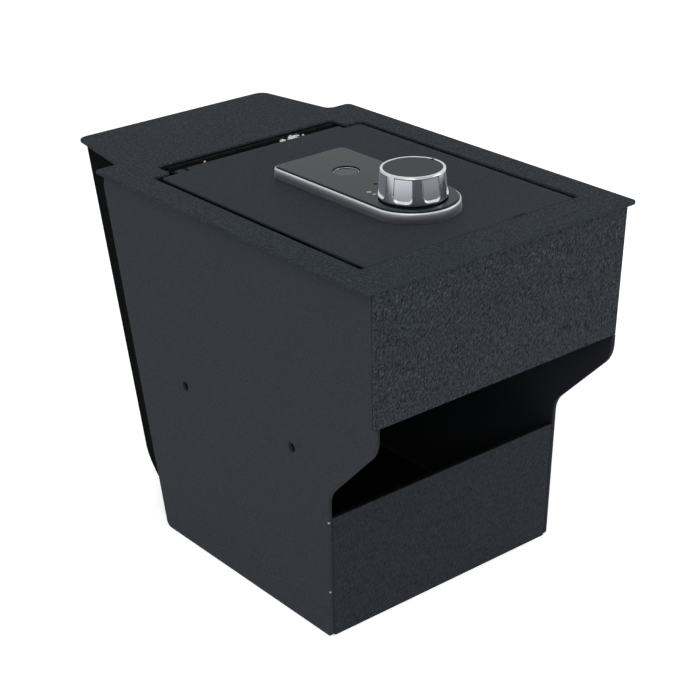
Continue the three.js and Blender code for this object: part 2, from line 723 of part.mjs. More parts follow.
function knobParts() {
  const top = KNOB_TOP_Z - 0.1;
  const mark = box(CAP_R - INDEX_WIDTH, CAP_R + 1, -INDEX_WIDTH / 2, INDEX_WIDTH / 2, top - CAP_T / 2, top + CAP_T);
  mark.rotateZ(INDEX_ANGLE).translate(0, MODULE_FRONT_Y, 0);
  piece('knob_cap', cut(rod(CAP_R, top - CAP_T, top, 0, MODULE_FRONT_Y, 56), mark), plastic(0x4b4e50, 0.45));
  const inner = SPINDLE_R + COLLAR_INSET;
  const outer = KNOB_FOOT_R - COLLAR_INSET;
  const foot = GLASS_TOP + GAP;
  const ring = [[inner, foot], [outer, foot], [outer, foot + COLLAR_H], [inner, foot + COLLAR_H], [inner, foot]];
  piece('knob_collar', lathe(ring, 0, MODULE_FRONT_Y, 56), plastic(0x0d0e0f, 0.3));
  piece('spindle', rod(SPINDLE_R, SPINDLE_FOOT, SPINDLE_TOP, 0, MODULE_FRONT_Y, 28), chrome(0x9da0a3));
}

// The cam points to +X when unlocked, and turns to -Y, under the strike bar, to lock
function camLever() {
  const shape = new THREE.Shape();
  const narrow = Math.asin(CAM_HALF / HUB_R);
  const tip = CAM_LENGTH - CAM_CORNER;
  shape.absarc(0, 0, HUB_R, narrow, 2 * Math.PI - narrow, false);
  shape.lineTo(tip, -CAM_HALF);
  shape.quadraticCurveTo(CAM_LENGTH, -CAM_HALF, CAM_LENGTH, -CAM_HALF + CAM_CORNER);
  shape.lineTo(CAM_LENGTH, CAM_HALF - CAM_CORNER);
  shape.quadraticCurveTo(CAM_LENGTH, CAM_HALF, tip, CAM_HALF);
  shape.closePath();
  shape.holes.push(circlePath(0, 0, SPINDLE_R + GAP, 28));
  const lever = sheet(shape, CAM_T, 0, 18).translate(0, MODULE_FRONT_Y, CAM_TOP - CAM_T);
  piece('cam_lever', lever, steel(0x8f9396, 0.35));
  const nutTop = CAM_TOP - CAM_T - GAP;
  const nut = rod(NUT_R, nutTop - NUT_T, nutTop, 0, MODULE_FRONT_Y, 6);
  const bore = rod(SPINDLE_R + GAP, nutTop - 2 * NUT_T, nutTop + NUT_T, 0, MODULE_FRONT_Y, 28);
  piece('cam_nut', cut(nut, bore), steel(0xa4a7aa, 0.35));
}

function housingOutline(inset) {
  const half = BOX_HALF - inset;
  const front = BOX_FRONT + inset;
  const back = BOX_BACK - inset;
  return rounded([[-half, front], [half, front], [half, back], [-half, back]], BOX_CORNER - inset);
}

// A tray screwed under the lid, open below, with a post for the cover's screw
function housing() {
  const hollow = sheet(housingOutline(BOX_WALL), BOX_DEPTH, 0, 4).translate(0, 0, BOX_FOOT - BOX_WALL);
  const tray = cut(sheet(housingOutline(0), BOX_DEPTH, 0, 4).translate(0, 0, BOX_FOOT), hollow);
  const post = rod(POST_R, BOX_FOOT, BOX_TOP - BOX_WALL / 2, 0, COVER_SCREW_Y, 20);
  const bore = COVER_SCREW_R + GAP;
  const bores = [rod(bore, BOX_FOOT - 1, BOX_FOOT + COVER_SCREW_REACH + 1, 0, COVER_SCREW_Y, 14)];
  for (const y of SCREW_Y) {
    bores.push(rod(SCREW_R + SCREW_CLEAR, BOX_TOP - 2 * BOX_WALL, BOX_TOP + BOX_WALL, 0, y, 16));
  }
  piece('battery_housing', cut(join(tray, post), ...bores), plastic(0x202224, 0.6));
  const lid = sheet(housingOutline(0), BOX_WALL, 0, 4).translate(0, 0, BOX_FOOT - GAP - BOX_WALL);
  const hole = rod(bore, BOX_FOOT - 2 * BOX_WALL, BOX_FOOT + BOX_WALL, 0, COVER_SCREW_Y, 14);
  piece('battery_cover', cut(lid, hole), plastic(0x25272a, 0.6));
}

function cells() {
  const half = CELL_LENGTH / 2;
  const shoulder = half - 1.2;
  const nub = CELL_R * 0.36;
  for (let i = 0; i < CELLS; i += 1) {
    const cell = lathe([[0, -half], [CELL_R, -half], [CELL_R, shoulder], [nub, shoulder], [nub, half], [0, half]], 0, 0, 20);
    cell.rotateY(i % 2 ? -Math.PI / 2 : Math.PI / 2);
    cell.translate(0, BOX_FRONT + CELL_SETBACK + i * CELL_PITCH, BOX_TOP - BOX_WALL - GAP - CELL_R);
    piece(`battery_${i + 1}`, cell, plastic(0x3a3d33, 0.4));
  }
}

// A pan-head screw seen from below: the head hangs under headZ and the shank goes up to shankTop
function screw(name, y, headZ, headR, headH, shankR, shankTop) {
  const under = headZ - headH;
  const profile = [[0, under], [headR - 0.6, under], [headR, under + 0.8], [headR, headZ],
    [shankR, headZ], [shankR, shankTop], [0, shankTop]];
  const slot = box(-headR, headR, -0.5, 0.5, under - headH, under + 0.9).translate(0, y, 0);
  piece(name, cut(lathe(profile, 0, y, 20), slot), steel(0x9a9da0, 0.3));
}

function screws() {
  SCREW_Y.forEach((y, i) => {
    const headZ = BOX_TOP - BOX_WALL - GAP;
    screw(`module_screw_${i + 1}`, y, headZ, SCREW_HEAD_R, SCREW_HEAD_H, SCREW_R, LID_TOP + BASE_T);
  });
  const headZ = BOX_FOOT - BOX_WALL - 2 * GAP;
  screw('cover_screw', COVER_SCREW_Y, headZ, COVER_HEAD_R, COVER_HEAD_H, COVER_SCREW_R, BOX_FOOT + COVER_SCREW_REACH);
}

topPlate();
sidePanels();
frontUpperPanel();
frontLowerPanel();
backPanel();
bottomPanel();
extension();
floorMat();
strikeBar();
lidPanel();
hinge();
lockBezel();
circuitBoard();
glassFace();
sensor();
knob();
knobParts();
camLever();
housing();
cells();
screws();

export default group;
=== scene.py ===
"""Console safe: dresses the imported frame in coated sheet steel, a chrome and glass lock and soft studio light.

Sizes are in millimetres in the top plate's own axes: x from the middle of the plate, y from its front edge towards
the hinge, and z from its upper face, negative downwards. place() turns them into the frame's metres.
"""
import logging
import math
from collections.abc import Callable, Sequence
from dataclasses import dataclass, field
from enum import Enum

import bmesh
import bpy
import numpy as np
from mathutils import Matrix, Vector
from mathutils.geometry import tessellate_polygon


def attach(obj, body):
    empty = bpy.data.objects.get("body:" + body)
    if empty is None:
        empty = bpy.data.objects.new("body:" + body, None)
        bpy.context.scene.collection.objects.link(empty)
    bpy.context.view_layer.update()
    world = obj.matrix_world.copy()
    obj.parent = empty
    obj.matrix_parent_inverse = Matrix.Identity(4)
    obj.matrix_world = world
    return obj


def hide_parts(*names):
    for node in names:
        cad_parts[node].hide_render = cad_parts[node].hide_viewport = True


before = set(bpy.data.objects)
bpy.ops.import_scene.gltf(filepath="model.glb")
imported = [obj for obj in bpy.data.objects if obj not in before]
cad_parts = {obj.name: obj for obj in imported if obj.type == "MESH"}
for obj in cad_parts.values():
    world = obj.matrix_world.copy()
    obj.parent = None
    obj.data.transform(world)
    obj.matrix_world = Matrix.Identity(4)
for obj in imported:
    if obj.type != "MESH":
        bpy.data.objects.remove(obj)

log = logging.getLogger("console_safe")

TOTAL_DEPTH = 348.7
HEIGHT = 258.0
DRAFT = 0.0213
BODY_HALF = 101.1
KNOB_Y = 86.0
SCREW_Y = (112.0, 178.3)
SCREW_R = 2.35
Triple = tuple[float, float, float]
Colour = Triple
Line = Sequence[Sequence[float]] | np.ndarray
Socket = bpy.types.NodeSocket
Material = bpy.types.Material


class Body(Enum):
    """The moving bodies that a piece can ride on."""

    SHELL = "shell"
    LID = "lid"
    KNOB = "knob_and_cam"


def srgb(red: float, green: float, blue: float) -> Colour:
    """Turns a colour read on screen, 0 to 255, into the linear values that shaders use."""
    shown = np.array([red, green, blue]) / 255.0
    return tuple(np.where(shown <= 0.04045, shown / 12.92, ((shown + 0.055) / 1.055) ** 2.4).tolist())


def place(points: np.ndarray) -> np.ndarray:
    """Moves plate millimetres to the frame's metres: y back by half the depth, z up by the height."""
    return (np.asarray(points, float) + [0.0, -TOTAL_DEPTH / 2, HEIGHT]) / 1000.0


def add_object(name: str, data: bpy.types.ID) -> bpy.types.Object:
    """Puts a mesh, lamp or camera into the scene.

    Args:
        name: The object's name.
        data: What it shows.

    Returns:
        The new object.
    """
    piece = bpy.data.objects.new(name, data)
    bpy.context.scene.collection.objects.link(piece)
    return piece


# ------------------------------------------------------------------ surfaces


def quads(rows: int, columns: int, around: bool = False, loop: bool = False) -> np.ndarray:
    """The faces between the points of a grid, which are numbered row by row.

    Args:
        rows: How many rows it has.
        columns: How many points each row has.
        around: Whether each row closes on itself.
        loop: Whether the last row joins the first.

    Returns:
        Four point numbers for each face.
    """
    i = np.arange(rows if loop else rows - 1)[:, None]
    j = np.arange(columns if around else columns - 1)[None, :]
    ni, nj = (i + 1) % rows, (j + 1) % columns
    return np.stack([i * columns + j, i * columns + nj, ni * columns + nj, ni * columns + j], -1).reshape(-1, 4)


@dataclass
class Skin:
    """Collects surfaces in plate millimetres and turns them into one mesh object."""

    points: list[np.ndarray] = field(default_factory=list)
    faces: list[list[int]] = field(default_factory=list)
    smooth: list[bool] = field(default_factory=list)
    marks: list[np.ndarray] = field(default_factory=list)
    count: int = 0

    def add(self, points: np.ndarray, faces: np.ndarray, smooth: bool, mark: np.ndarray | None = None) -> None:
        """Adds one surface.

        Args:
            points: Its points, (n, 3).
            faces: Its faces as rows of point numbers.
            smooth: Whether it shades smoothly.
            mark: A value for each point, kept in the attribute "mark".
        """
        points = np.asarray(points, float).reshape(-1, 3)
        self.points.append(points)
        self.faces.extend((faces + self.count).tolist())
        self.smooth.extend([smooth] * len(faces))
        self.marks.append(np.zeros(len(points)) if mark is None else np.asarray(mark, float).ravel())
        self.count += len(points)

    def grid(self, rows: np.ndarray, around: bool = True, loop: bool = False, mark: np.ndarray | None = None) -> None:
        """Adds quads between (r, n, 3) rows of points, with the options of quads() and a value for each point."""
        self.add(rows, quads(*rows.shape[:2], around, loop), True, mark)

    def cap(self, loops: Sequence[np.ndarray]) -> None:
        """Fills a flat face, bounded by an outer loop of (n, 3) points and any holes, with triangles."""
        triangles = tessellate_polygon([[Vector(p) for p in loop.tolist()] for loop in loops])
        self.add(np.concatenate(loops), np.array(triangles, int), False)

    def join(self, other: "Skin") -> None:
        """Takes over the surfaces of another skin.

        Args:
            other: The skin that is added.
        """
        self.faces.extend((np.array(face) + self.count).tolist() for face in other.faces)
        self.points += other.points
        self.smooth += other.smooth
        self.marks += other.marks
        self.count += other.count

    def build(self, name: str, body: Body, slot: str, material: Material, *nodes: str) -> None:
        """Makes the object, points its faces outwards, and tells the frame what it rides on and stands for.

        Args:
            name: The piece's name.
            body: The body it moves with.
            slot: Not used.
            material: Its finish.
            nodes: The frame's nodes that it stands for.
        """
        mesh = bpy.data.meshes.new(name)
        mesh.from_pydata(place(np.concatenate(self.points)).tolist(), [], self.faces)
        mesh.polygons.foreach_set("use_smooth", np.array(self.smooth, bool))
        layer = mesh.attributes.new("mark", "FLOAT", "POINT")
        layer.data.foreach_set("value", np.concatenate(self.marks).astype(np.float32))
        work = bmesh.new()
        work.from_mesh(mesh)
        bmesh.ops.remove_doubles(work, verts=work.verts, dist=2e-6)
        bmesh.ops.dissolve_degenerate(work, dist=1e-7, edges=work.edges)
        bmesh.ops.recalc_face_normals(work, faces=work.faces)
        flat = [face for face in work.faces if not face.smooth]
        inner = [e for e in work.edges if len(e.link_faces) == 2 and not any(f.smooth for f in e.link_faces)]
        bmesh.ops.beautify_fill(work, faces=flat, edges=inner, method="ANGLE")
        work.to_mesh(mesh)
        work.free()
        mesh.materials.append(material)
        piece = add_object(name, mesh)
        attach(piece, body.value)
        if nodes:
            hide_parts(*nodes)
        log.info("%s: %d faces on %s", name, len(mesh.polygons), body.value)


def dress(material: Material, *nodes: str) -> None:
    """Gives some of the frame's own nodes a finish, in their material slots.

    Args:
        material: Their finish.
        nodes: The nodes' names.
    """
    for node in nodes:
        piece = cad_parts[node]
        if not piece.material_slots:
            piece.data.materials.append(material)
        for slot in piece.material_slots:
            slot.material = material
        log.info("%s: dressed in %s", node, material.name)


def fillet_loop(corners: Line, radii: Sequence[float], steps: int = 8) -> np.ndarray:
    """A closed outline with each corner replaced by a true arc.

    With unit vectors a and b from a corner to its neighbours and half the angle between them h, the arc's centre lies
    radius / sin(h) from the corner along a + b, and the arc turns evenly from one tangent point to the other.

    Args:
        corners: The corners in order, (k, 2).
        radii: One radius for each corner, 0 for a sharp one.
        steps: How many pieces each arc has.

    Returns:
        The outline as an (n, 2) array.
    """
    here = np.asarray(corners, float)
    size = np.asarray(radii, float)[:, None]
    a = np.roll(here, 1, 0) - here
    b = np.roll(here, -1, 0) - here
    a /= np.linalg.norm(a, axis=1, keepdims=True)
    b /= np.linalg.norm(b, axis=1, keepdims=True)
    h = np.arccos(np.clip((a * b).sum(1), -1, 1))[:, None] / 2
    centre = here + (a + b) / np.linalg.norm(a + b, axis=1, keepdims=True) * size / np.sin(h)
    start = here + a * size / np.tan(h) - centre
    end = here + b * size / np.tan(h) - centre
    turn = (np.pi - 2 * h)[:, :, None]
    t = np.linspace(0, 1, steps + 1)[None, :, None]
    arc = (np.sin((1 - t) * turn) * start[:, None] + np.sin(t * turn) * end[:, None]) / np.sin(turn)
    loop = (centre[:, None] + arc).reshape(-1, 2)
    return loop[np.linalg.norm(loop - np.roll(loop, 1, 0), axis=1) > 1e-6]


def rectangle(x0: float, y0: float, x1: float, y1: float, radius: float) -> np.ndarray:
    """A rectangle's outline with four equal rounded corners, from its lower left one."""
    return fillet_loop([(x0, y0), (x1, y0), (x1, y1), (x0, y1)], [radius] * 4)


def circle_loop(x: float, y: float, radius: float, count: int = 48) -> np.ndarray:
    """A round hole's outline, turning the other way from an outer outline: x + r cos t, y - r sin t."""
    t = np.arange(count) / count * 2 * np.pi
    return np.stack([x + radius * np.cos(t), y - radius * np.sin(t)], 1)


def turned_bar(start: float, stop: float, width: float, radius: float, turn: float, x: float, y: float) -> np.ndarray:
    """A rounded bar's outline, along an axis that is turned about one of its own points.

    Args:
        start: Where the bar begins on the axis.
        stop: Where it ends.
        width: Its width.
        radius: Its corners.
        turn: The axis's angle from +x, in degrees.
        x: The turning point's x.
        y: The turning point's y.

    Returns:
        The outline.
    """
    c, s = math.cos(math.radians(turn)), math.sin(math.radians(turn))
    return rectangle(start, -width / 2, stop, width / 2, radius) @ np.array([[c, s], [-s, c]]) + [x, y]


def inset_loop(loop: np.ndarray, distance: float) -> np.ndarray:
    """Moves an outline into the material by a distance, with mitred corners.

    Each point moves against the sum of its two edges' outward normals, divided by one plus their dot product, which
    keeps every edge at the same distance.

    Args:
        loop: Anticlockwise round the material, or clockwise round a hole, (n, 2).
        distance: How far to move.

    Returns:
        The moved outline.
    """
    edge = np.roll(loop, -1, 0) - loop
    edge /= np.linalg.norm(edge, axis=1, keepdims=True)
    normal = np.stack([edge[:, 1], -edge[:, 0]], 1)
    before = np.roll(normal, 1, 0)
    mitre = (normal + before) / (1 + (normal * before).sum(1, keepdims=True))
    return loop - mitre * distance


def carried(loop: np.ndarray, line: Line) -> np.ndarray:
    """An outline carried through (inset, height) points, as rows for Skin.grid."""
    return np.stack([np.column_stack([inset_loop(loop, inset), np.full(len(loop), high)]) for inset, high in line])


def rounded_profile(thickness: float, radius: float, apron: float, steps: int = 4) -> np.ndarray:
    """The edge of a sheet as (inset, height) points from its lower face round to its upper face.

    Two quarter circles joined by a straight, with a short flat apron on each face that keeps the shading clean.

    Args:
        thickness: The sheet's thickness.
        radius: The radius of both quarter circles.
        apron: The width of the flat strip next to each.
        steps: How many pieces each quarter has.

    Returns:
        The points as an (r, 2) array.
    """
    t = np.linspace(0, np.pi / 2, steps + 1)
    lower = np.stack([radius * (1 - np.sin(t)), radius * (1 - np.cos(t))], 1)
    upper = np.stack([radius * (1 - np.cos(t)), thickness - radius * (1 - np.sin(t))], 1)
    return np.concatenate([[[radius + apron, 0]], lower, upper, [[radius + apron, thickness]]])


def sheet_skin(
    loops: Sequence[np.ndarray], profile: np.ndarray | list[np.ndarray], lay: Callable[[np.ndarray], np.ndarray],
    mark: Callable[[np.ndarray], np.ndarray] | None = None,
) -> Skin:
    """A flat sheet with rounded edges: every outline is carried through the edge profile and both faces are filled.

    Args:
        loops: The outline and any holes.
        profile: (inset, height) points from rounded_profile, or a list with one such line for each loop.
        lay: Turns (u, v, height) into plate millimetres.
        mark: Gives the "mark" value of plate points, 0 everywhere without it.

    Returns:
        The closed skin.
    """
    skin = Skin()
    ends = []
    for loop, line in zip(loops, profile if isinstance(profile, list) else [profile] * len(loops)):
        rows = carried(loop, line)
        rows = lay(rows.reshape(-1, 3)).reshape(rows.shape)
        skin.grid(rows)
        ends.append((rows[0], rows[-1]))
    for face in zip(*ends):
        skin.cap(face)
    if mark is not None:
        skin.marks = [mark(points).astype(float) for points in skin.points]
    return skin


def drafted(points: np.ndarray) -> np.ndarray:
    """Narrows points towards the bottom: x grows by its share of the draft times z."""
    return points * (1 + DRAFT * points[:, 2:] / BODY_HALF * [1, 0, 0])


def lathe_rows(profile: Line, y: float, turn: int | np.ndarray) -> np.ndarray:
    """A turned surface: each (radius, height) point carried round (0, y) as r cos t, r sin t.

    Args:
        profile: The turned line from one end to the other.
        y: Where the axis stands.
        turn: The angles t, or how many even steps go round.

    Returns:
        Rows for Skin.grid.
    """
    line = np.asarray(profile, float)
    t = np.arange(turn) / turn * 2 * np.pi if isinstance(turn, int) else turn
    radius, height = line[:, :1], line[:, 1:]
    return np.stack([radius * np.cos(t), y + radius * np.sin(t), np.repeat(height, len(t), 1)], -1)


def soften(profile: Line, radius: float, steps: int = 3, closed: bool = False) -> np.ndarray:
    """Rounds the corners of an open or closed (radius, height) line by the same arcs as fillet_loop.

    Args:
        profile: The corners.
        radius: The rounding, held to a third of the shorter side.
        steps: Pieces in each arc.
        closed: Whether the line closes on itself.

    Returns:
        The rounded line.
    """
    line = np.asarray(profile, float)
    side = np.linalg.norm(np.roll(line, -1, 0) - line, axis=1)
    a = np.roll(line, 1, 0) - line
    b = np.roll(line, -1, 0) - line
    cosine = (a * b).sum(1) / (np.linalg.norm(a, axis=1) * np.linalg.norm(b, axis=1))
    half = np.arccos(np.clip(cosine, -1, 1)) / 2
    reach = np.minimum(side, np.roll(side, 1)) / 3
    radii = np.minimum(radius, reach * np.tan(half))
    if closed:
        return fillet_loop(line, radii, steps)
    radii[[0, -1]] = 0
    rounded = fillet_loop(line, radii, steps)
    first = int(np.argmin(np.linalg.norm(rounded - line[0], axis=1)))
    return np.roll(rounded, -first, 0)


# ----------------------------------------------------------------- materials


@dataclass
class Graph:
    """Adds, fills and joins shader nodes in one tree."""

    tree: bpy.types.NodeTree

    def fill(self, node: bpy.types.Node, sockets: dict[str | int, object]) -> None:
        """Gives each named or numbered input of a node a value, or links it to another node's output.

        Args:
            node: The node.
            sockets: What goes into its inputs.
        """
        for key, value in sockets.items():
            socket = node.inputs[key]
            if isinstance(value, Socket):
                self.tree.links.new(value, socket)
            else:
                socket.default_value = (*value, 1.0) if socket.type == "RGBA" else value

    def node(self, kind: str, sockets: dict[str | int, object] | None = None, **settings: object) -> bpy.types.Node:
        """Adds a node.

        Args:
            kind: The shader node's type, without its first word.
            sockets: What goes into its inputs.
            settings: Its properties.

        Returns:
            The node.
        """
        node = self.tree.nodes.new(f"ShaderNode{kind}")
        for key, value in settings.items():
            setattr(node, key, value)
        self.fill(node, sockets or {})
        return node

    def shade(self, sockets: dict[str, object]) -> None:
        """Fills the inputs of the material's Principled shader."""
        self.fill(self.tree.nodes["Principled BSDF"], sockets)

    def group(self, tree: bpy.types.NodeTree, **sockets: object) -> bpy.types.bpy_prop_collection:
        """Places a shared group and returns its outputs."""
        return self.node("Group", sockets, node_tree=tree).outputs

    def ramp(self, source: Socket, low: float, high: float, to_low: float = 0.0, to_high: float = 1.0) -> Socket:
        """Stretches a value from the range low to high to the range to_low to to_high, and clamps it."""
        return self.node("MapRange", dict(enumerate((source, low, high, to_low, to_high)))).outputs[0]

    def math(self, operation: str, a: object, b: object) -> Socket:
        """Combines two values, each an output or a number."""
        return self.node("Math", {0: a, 1: b}, operation=operation).outputs[0]

    def mix(self, factor: object, a: object, b: object) -> Socket:
        """Blends two colours by a factor, each an output or a plain colour."""
        return self.node("Mix", {0: factor, 6: a, 7: b}, data_type="RGBA").outputs[2]

    def noise(self, where: Socket, scale: object, detail: float = 2.0, roughness: float = 0.5) -> Socket:
        """Soft noise from 0 to 1, with its scale per metre, its finer layers and their strength."""
        sockets = {"Vector": where, "Scale": scale, "Detail": detail, "Roughness": roughness}
        return self.node("TexNoise", sockets).outputs[0]

    def mapped(self, where: Socket, turn: Triple = (0.0, 0.0, 0.0), stretch: Triple = (1.0, 1.0, 1.0)) -> Socket:
        """Turns a pattern by angles in radians and stretches it along its axes."""
        sockets = {"Vector": where, "Rotation": turn, "Scale": stretch}
        return self.node("Mapping", sockets, vector_type="TEXTURE").outputs[0]

    def mark(self) -> Socket:
        """The piece's own attribute "mark"."""
        return self.node("Attribute", attribute_name="mark").outputs["Fac"]

    def relief(self, height: Socket, strength: float, distance: float) -> Socket:
        """Bumps from a height, with their strength and their depth in metres."""
        return self.node("Bump", {"Height": height, "Strength": strength, "Distance": distance}).outputs[0]

    def give(self, **values: Socket) -> bpy.types.NodeTree:
        """Ends a group with one output for each value.

        Args:
            values: What each output puts out, by its name.

        Returns:
            The finished group.
        """
        for label in values:
            self.tree.interface.new_socket(label, in_out="OUTPUT", socket_type="NodeSocketFloat")
        self.fill(self.tree.nodes.new("NodeGroupOutput"), values)
        return self.tree


def effect(name: str, vectors: Sequence[str], values: Sequence[str]) -> tuple[Graph, bpy.types.bpy_prop_collection]:
    """Starts a shader node group with named inputs.

    Args:
        name: The group's name.
        vectors: Its vector inputs.
        values: Its plain inputs.

    Returns:
        A graph for filling it, and what its inputs give inside it.
    """
    tree = bpy.data.node_groups.new(name, "ShaderNodeTree")
    for kind, labels in (("NodeSocketVector", vectors), ("NodeSocketFloat", values)):
        for label in labels:
            tree.interface.new_socket(label, in_out="INPUT", socket_type=kind)
    return Graph(tree), tree.nodes.new("NodeGroupInput").outputs


def wrinkle_group() -> bpy.types.NodeTree:
    """The relief of wrinkle powder coat: soft ridges, finer grit, slow clouds and a few spots for painted glints.

    Returns:
        A group with Vector and Size in, and Height, Tone, Cloud and Speck out.
    """
    g, given = effect("wrinkle_coat", ("Vector",), ("Size",))
    where, size = given["Vector"], given["Size"]
    ridges = g.ramp(g.noise(where, size, roughness=0.65), 0.3, 0.7)
    grit, speck = (
        g.node("TexVoronoi", {"Vector": where, "Scale": g.math("MULTIPLY", size, k)}).outputs for k in (1.35, 0.4)
    )
    pits = g.ramp(grit["Distance"], 0.05, 0.75, 1.0, 0.0)
    height = g.math("ADD", g.math("MULTIPLY", ridges, 0.68), g.math("MULTIPLY", pits, 0.32))
    # Sparse spots from the coarser cells, used as painted glints.
    rare = g.ramp(speck["Color"], 0.72, 0.78)
    return g.give(
        Height=height, Tone=g.ramp(height, 0.2, 0.85), Cloud=g.ramp(g.noise(where, 14.0, 3.0), 0.3, 0.7),
        Speck=g.math("MULTIPLY", g.ramp(speck["Distance"], 0.1, 0.3, 1.0, 0.0), rare),
    )


def chip_group() -> bpy.types.NodeTree:
    """Small chips in a coating, kept to an egg round a given point: twice as long in x as in y and z.

    Returns:
        A group with Vector, Centre, Reach and Grain in, and Mask out.
    """
    g, given = effect("bare_chips", ("Vector", "Centre"), ("Reach", "Grain"))
    off = g.node("VectorMath", {0: given["Vector"], 1: given["Centre"]}, operation="SUBTRACT").outputs[0]
    egg = g.node("VectorMath", {0: off, 1: (1.0, 2.0, 2.0)}, operation="MULTIPLY").outputs[0]
    away = g.node("VectorMath", {0: egg}, operation="LENGTH").outputs["Value"]
    near = g.math("SUBTRACT", 1.0, g.math("DIVIDE", away, given["Reach"]))
    ragged = g.math("MULTIPLY", g.math("SUBTRACT", g.noise(given["Vector"], given["Grain"]), 0.5), 1.6)
    return g.give(Mask=g.ramp(g.math("ADD", near, ragged), 0.42, 0.5))


def smudge_group() -> bpy.types.NodeTree:
    """Faint handling marks: slow noise and a finer streak, as one value from 0 to 1.

    Returns:
        A group with Vector and Size in, and Value out.
    """
    g, given = effect("handling_marks", ("Vector",), ("Size",))
    slow = g.noise(given["Vector"], given["Size"])
    fine = g.noise(given["Vector"], g.math("MULTIPLY", given["Size"], 7.0), 4.0)
    both = g.math("ADD", g.math("MULTIPLY", slow, 0.65), g.math("MULTIPLY", fine, 0.35))
    return g.give(Value=g.ramp(both, 0.35, 0.65))


@dataclass
class Effects:
    """The shared node groups."""

    wrinkle: bpy.types.NodeTree = field(default_factory=wrinkle_group)
    chips: bpy.types.NodeTree = field(default_factory=chip_group)
    smudge: bpy.types.NodeTree = field(default_factory=smudge_group)


def blank_material(name: str) -> tuple[Material, Graph, Socket]:
    """A material with a Principled shader.

    Args:
        name: The material's name.

    Returns:
        The material, its graph and the object's coordinates.
    """
    material = bpy.data.materials.new(name)
    material.use_nodes = True
    graph = Graph(material.node_tree)
    return material, graph, graph.node("TexCoord").outputs["Object"]


@dataclass(frozen=True)
class PowderCoat:
    """Black wrinkle powder coat whose colour carries painted light and shade: lighter on the ridges, darker in the
    pits.

    Where the mark attribute is 1 it takes the painted shade colour, a darker colour painted where shade falls. Each
    chip is a point in plate millimetres and its reach.
    """

    name: str
    dark: Colour
    light: Colour
    size: float
    bump: float
    rough: float = 0.6
    specular: float = 0.1
    turn: Triple = (0.0, 0.0, 0.0)
    stretch: Triple = (1.0, 1.0, 1.0)
    speck: float = 0.0
    painted_shade: Colour | None = None
    bare: Colour = (0.30, 0.31, 0.31)
    chips: tuple[tuple[float, float, float, float], ...] = ()

    def make(self, effects: Effects) -> Material:
        """Builds the material.

        Args:
            effects: The shared groups.

        Returns:
            The material.
        """
        material, g, where = blank_material(self.name)
        coat = g.group(effects.wrinkle, Vector=g.mapped(where, self.turn, self.stretch), Size=self.size)
        clouded = tuple(c * k for c, k in zip(self.dark, (0.85, 1.05, 1.2)))
        # Painted light and shade on the grain: the colour runs from dark in the pits to light on the ridges, then
        # takes slow cool clouds at random.
        colour = g.mix(g.ramp(coat["Cloud"], 0.0, 1.0, 0.0, 0.12), g.mix(coat["Tone"], self.dark, self.light), clouded)
        # Painted glints: a few small spots lightened well past the ridge colour.
        if self.speck:
            colour = g.mix(g.math("MULTIPLY", coat["Speck"], self.speck), colour, tuple(c * 2.2 for c in self.light))
        # Painted shade: where the mark attribute is 1, the darker painted shade colour.
        if self.painted_shade is not None:
            colour = g.mix(g.mark(), colour, self.painted_shade)
        for *point, reach in self.chips:
            chip = g.group(effects.chips, Vector=where, Centre=tuple(place(point)), Reach=reach / 1000, Grain=900.0)
            colour = g.mix(chip["Mask"], colour, self.bare)
        g.shade({
            "Base Color": colour, "Specular IOR Level": self.specular,
            "Roughness": g.ramp(coat["Tone"], 0.0, 1.0, self.rough + 0.12, self.rough - 0.05),
            "Normal": g.relief(coat["Height"], self.bump, 0.0006),
        })
        return material


@dataclass(frozen=True)
class Metal:
    """Bare or plated metal with handling marks; where the piece's mark attribute is 1 it is satin instead."""

    name: str
    colour: Colour
    rough: float
    satin_rough: float = 0.0
    satin_colour: Colour | None = None
    brush: Triple | None = None

    def make(self, effects: Effects) -> Material:
        """Builds the material.

        Args:
            effects: The shared groups.

        Returns:
            The material.
        """
        material, g, where = blank_material(self.name)
        smudge = g.group(effects.smudge, Vector=where, Size=60.0)["Value"]
        rough = g.ramp(smudge, 0.0, 1.0, self.rough - 0.02, self.rough + 0.05)
        colour = g.mix(smudge, self.colour, tuple(c * 0.9 for c in self.colour))
        if self.satin_colour is not None:
            facet = g.mark()
            colour = g.mix(facet, colour, self.satin_colour)
            rough = g.node("Mix", {0: facet, 2: rough, 3: self.satin_rough}, data_type="FLOAT").outputs[0]
        g.shade({"Base Color": colour, "Roughness": rough, "Metallic": 1.0})
        if self.brush is not None:
            hair = g.noise(g.mapped(where, stretch=self.brush), 900.0)
            g.shade({"Normal": g.relief(hair, 0.3, 0.0001)})
        return material


@dataclass(frozen=True)
class Moulded:
    """Plastic, rubber, lacquer or glass paint: one colour with slight clouds, fine grain and handling marks."""

    name: str
    colour: Colour
    rough: float
    specular: float
    grain: float = 0.0
    size: float = 1500.0
    wear: float = 0.04

    def make(self, effects: Effects) -> Material:
        """Builds the material.

        Args:
            effects: The shared groups.

        Returns:
            The material.
        """
        material, g, where = blank_material(self.name)
        smudge = g.group(effects.smudge, Vector=where, Size=45.0)["Value"]
        g.shade({
            "Base Color": g.mix(smudge, self.colour, tuple(c * 1.12 + 0.001 for c in self.colour)),
            "Roughness": g.ramp(smudge, 0.0, 1.0, self.rough - self.wear, self.rough + self.wear),
            "Specular IOR Level": self.specular,
        })
        if self.grain:
            coat = g.group(effects.wrinkle, Vector=where, Size=self.size)
            g.shade({"Normal": g.relief(coat["Height"], self.grain, 0.0003)})
        return material


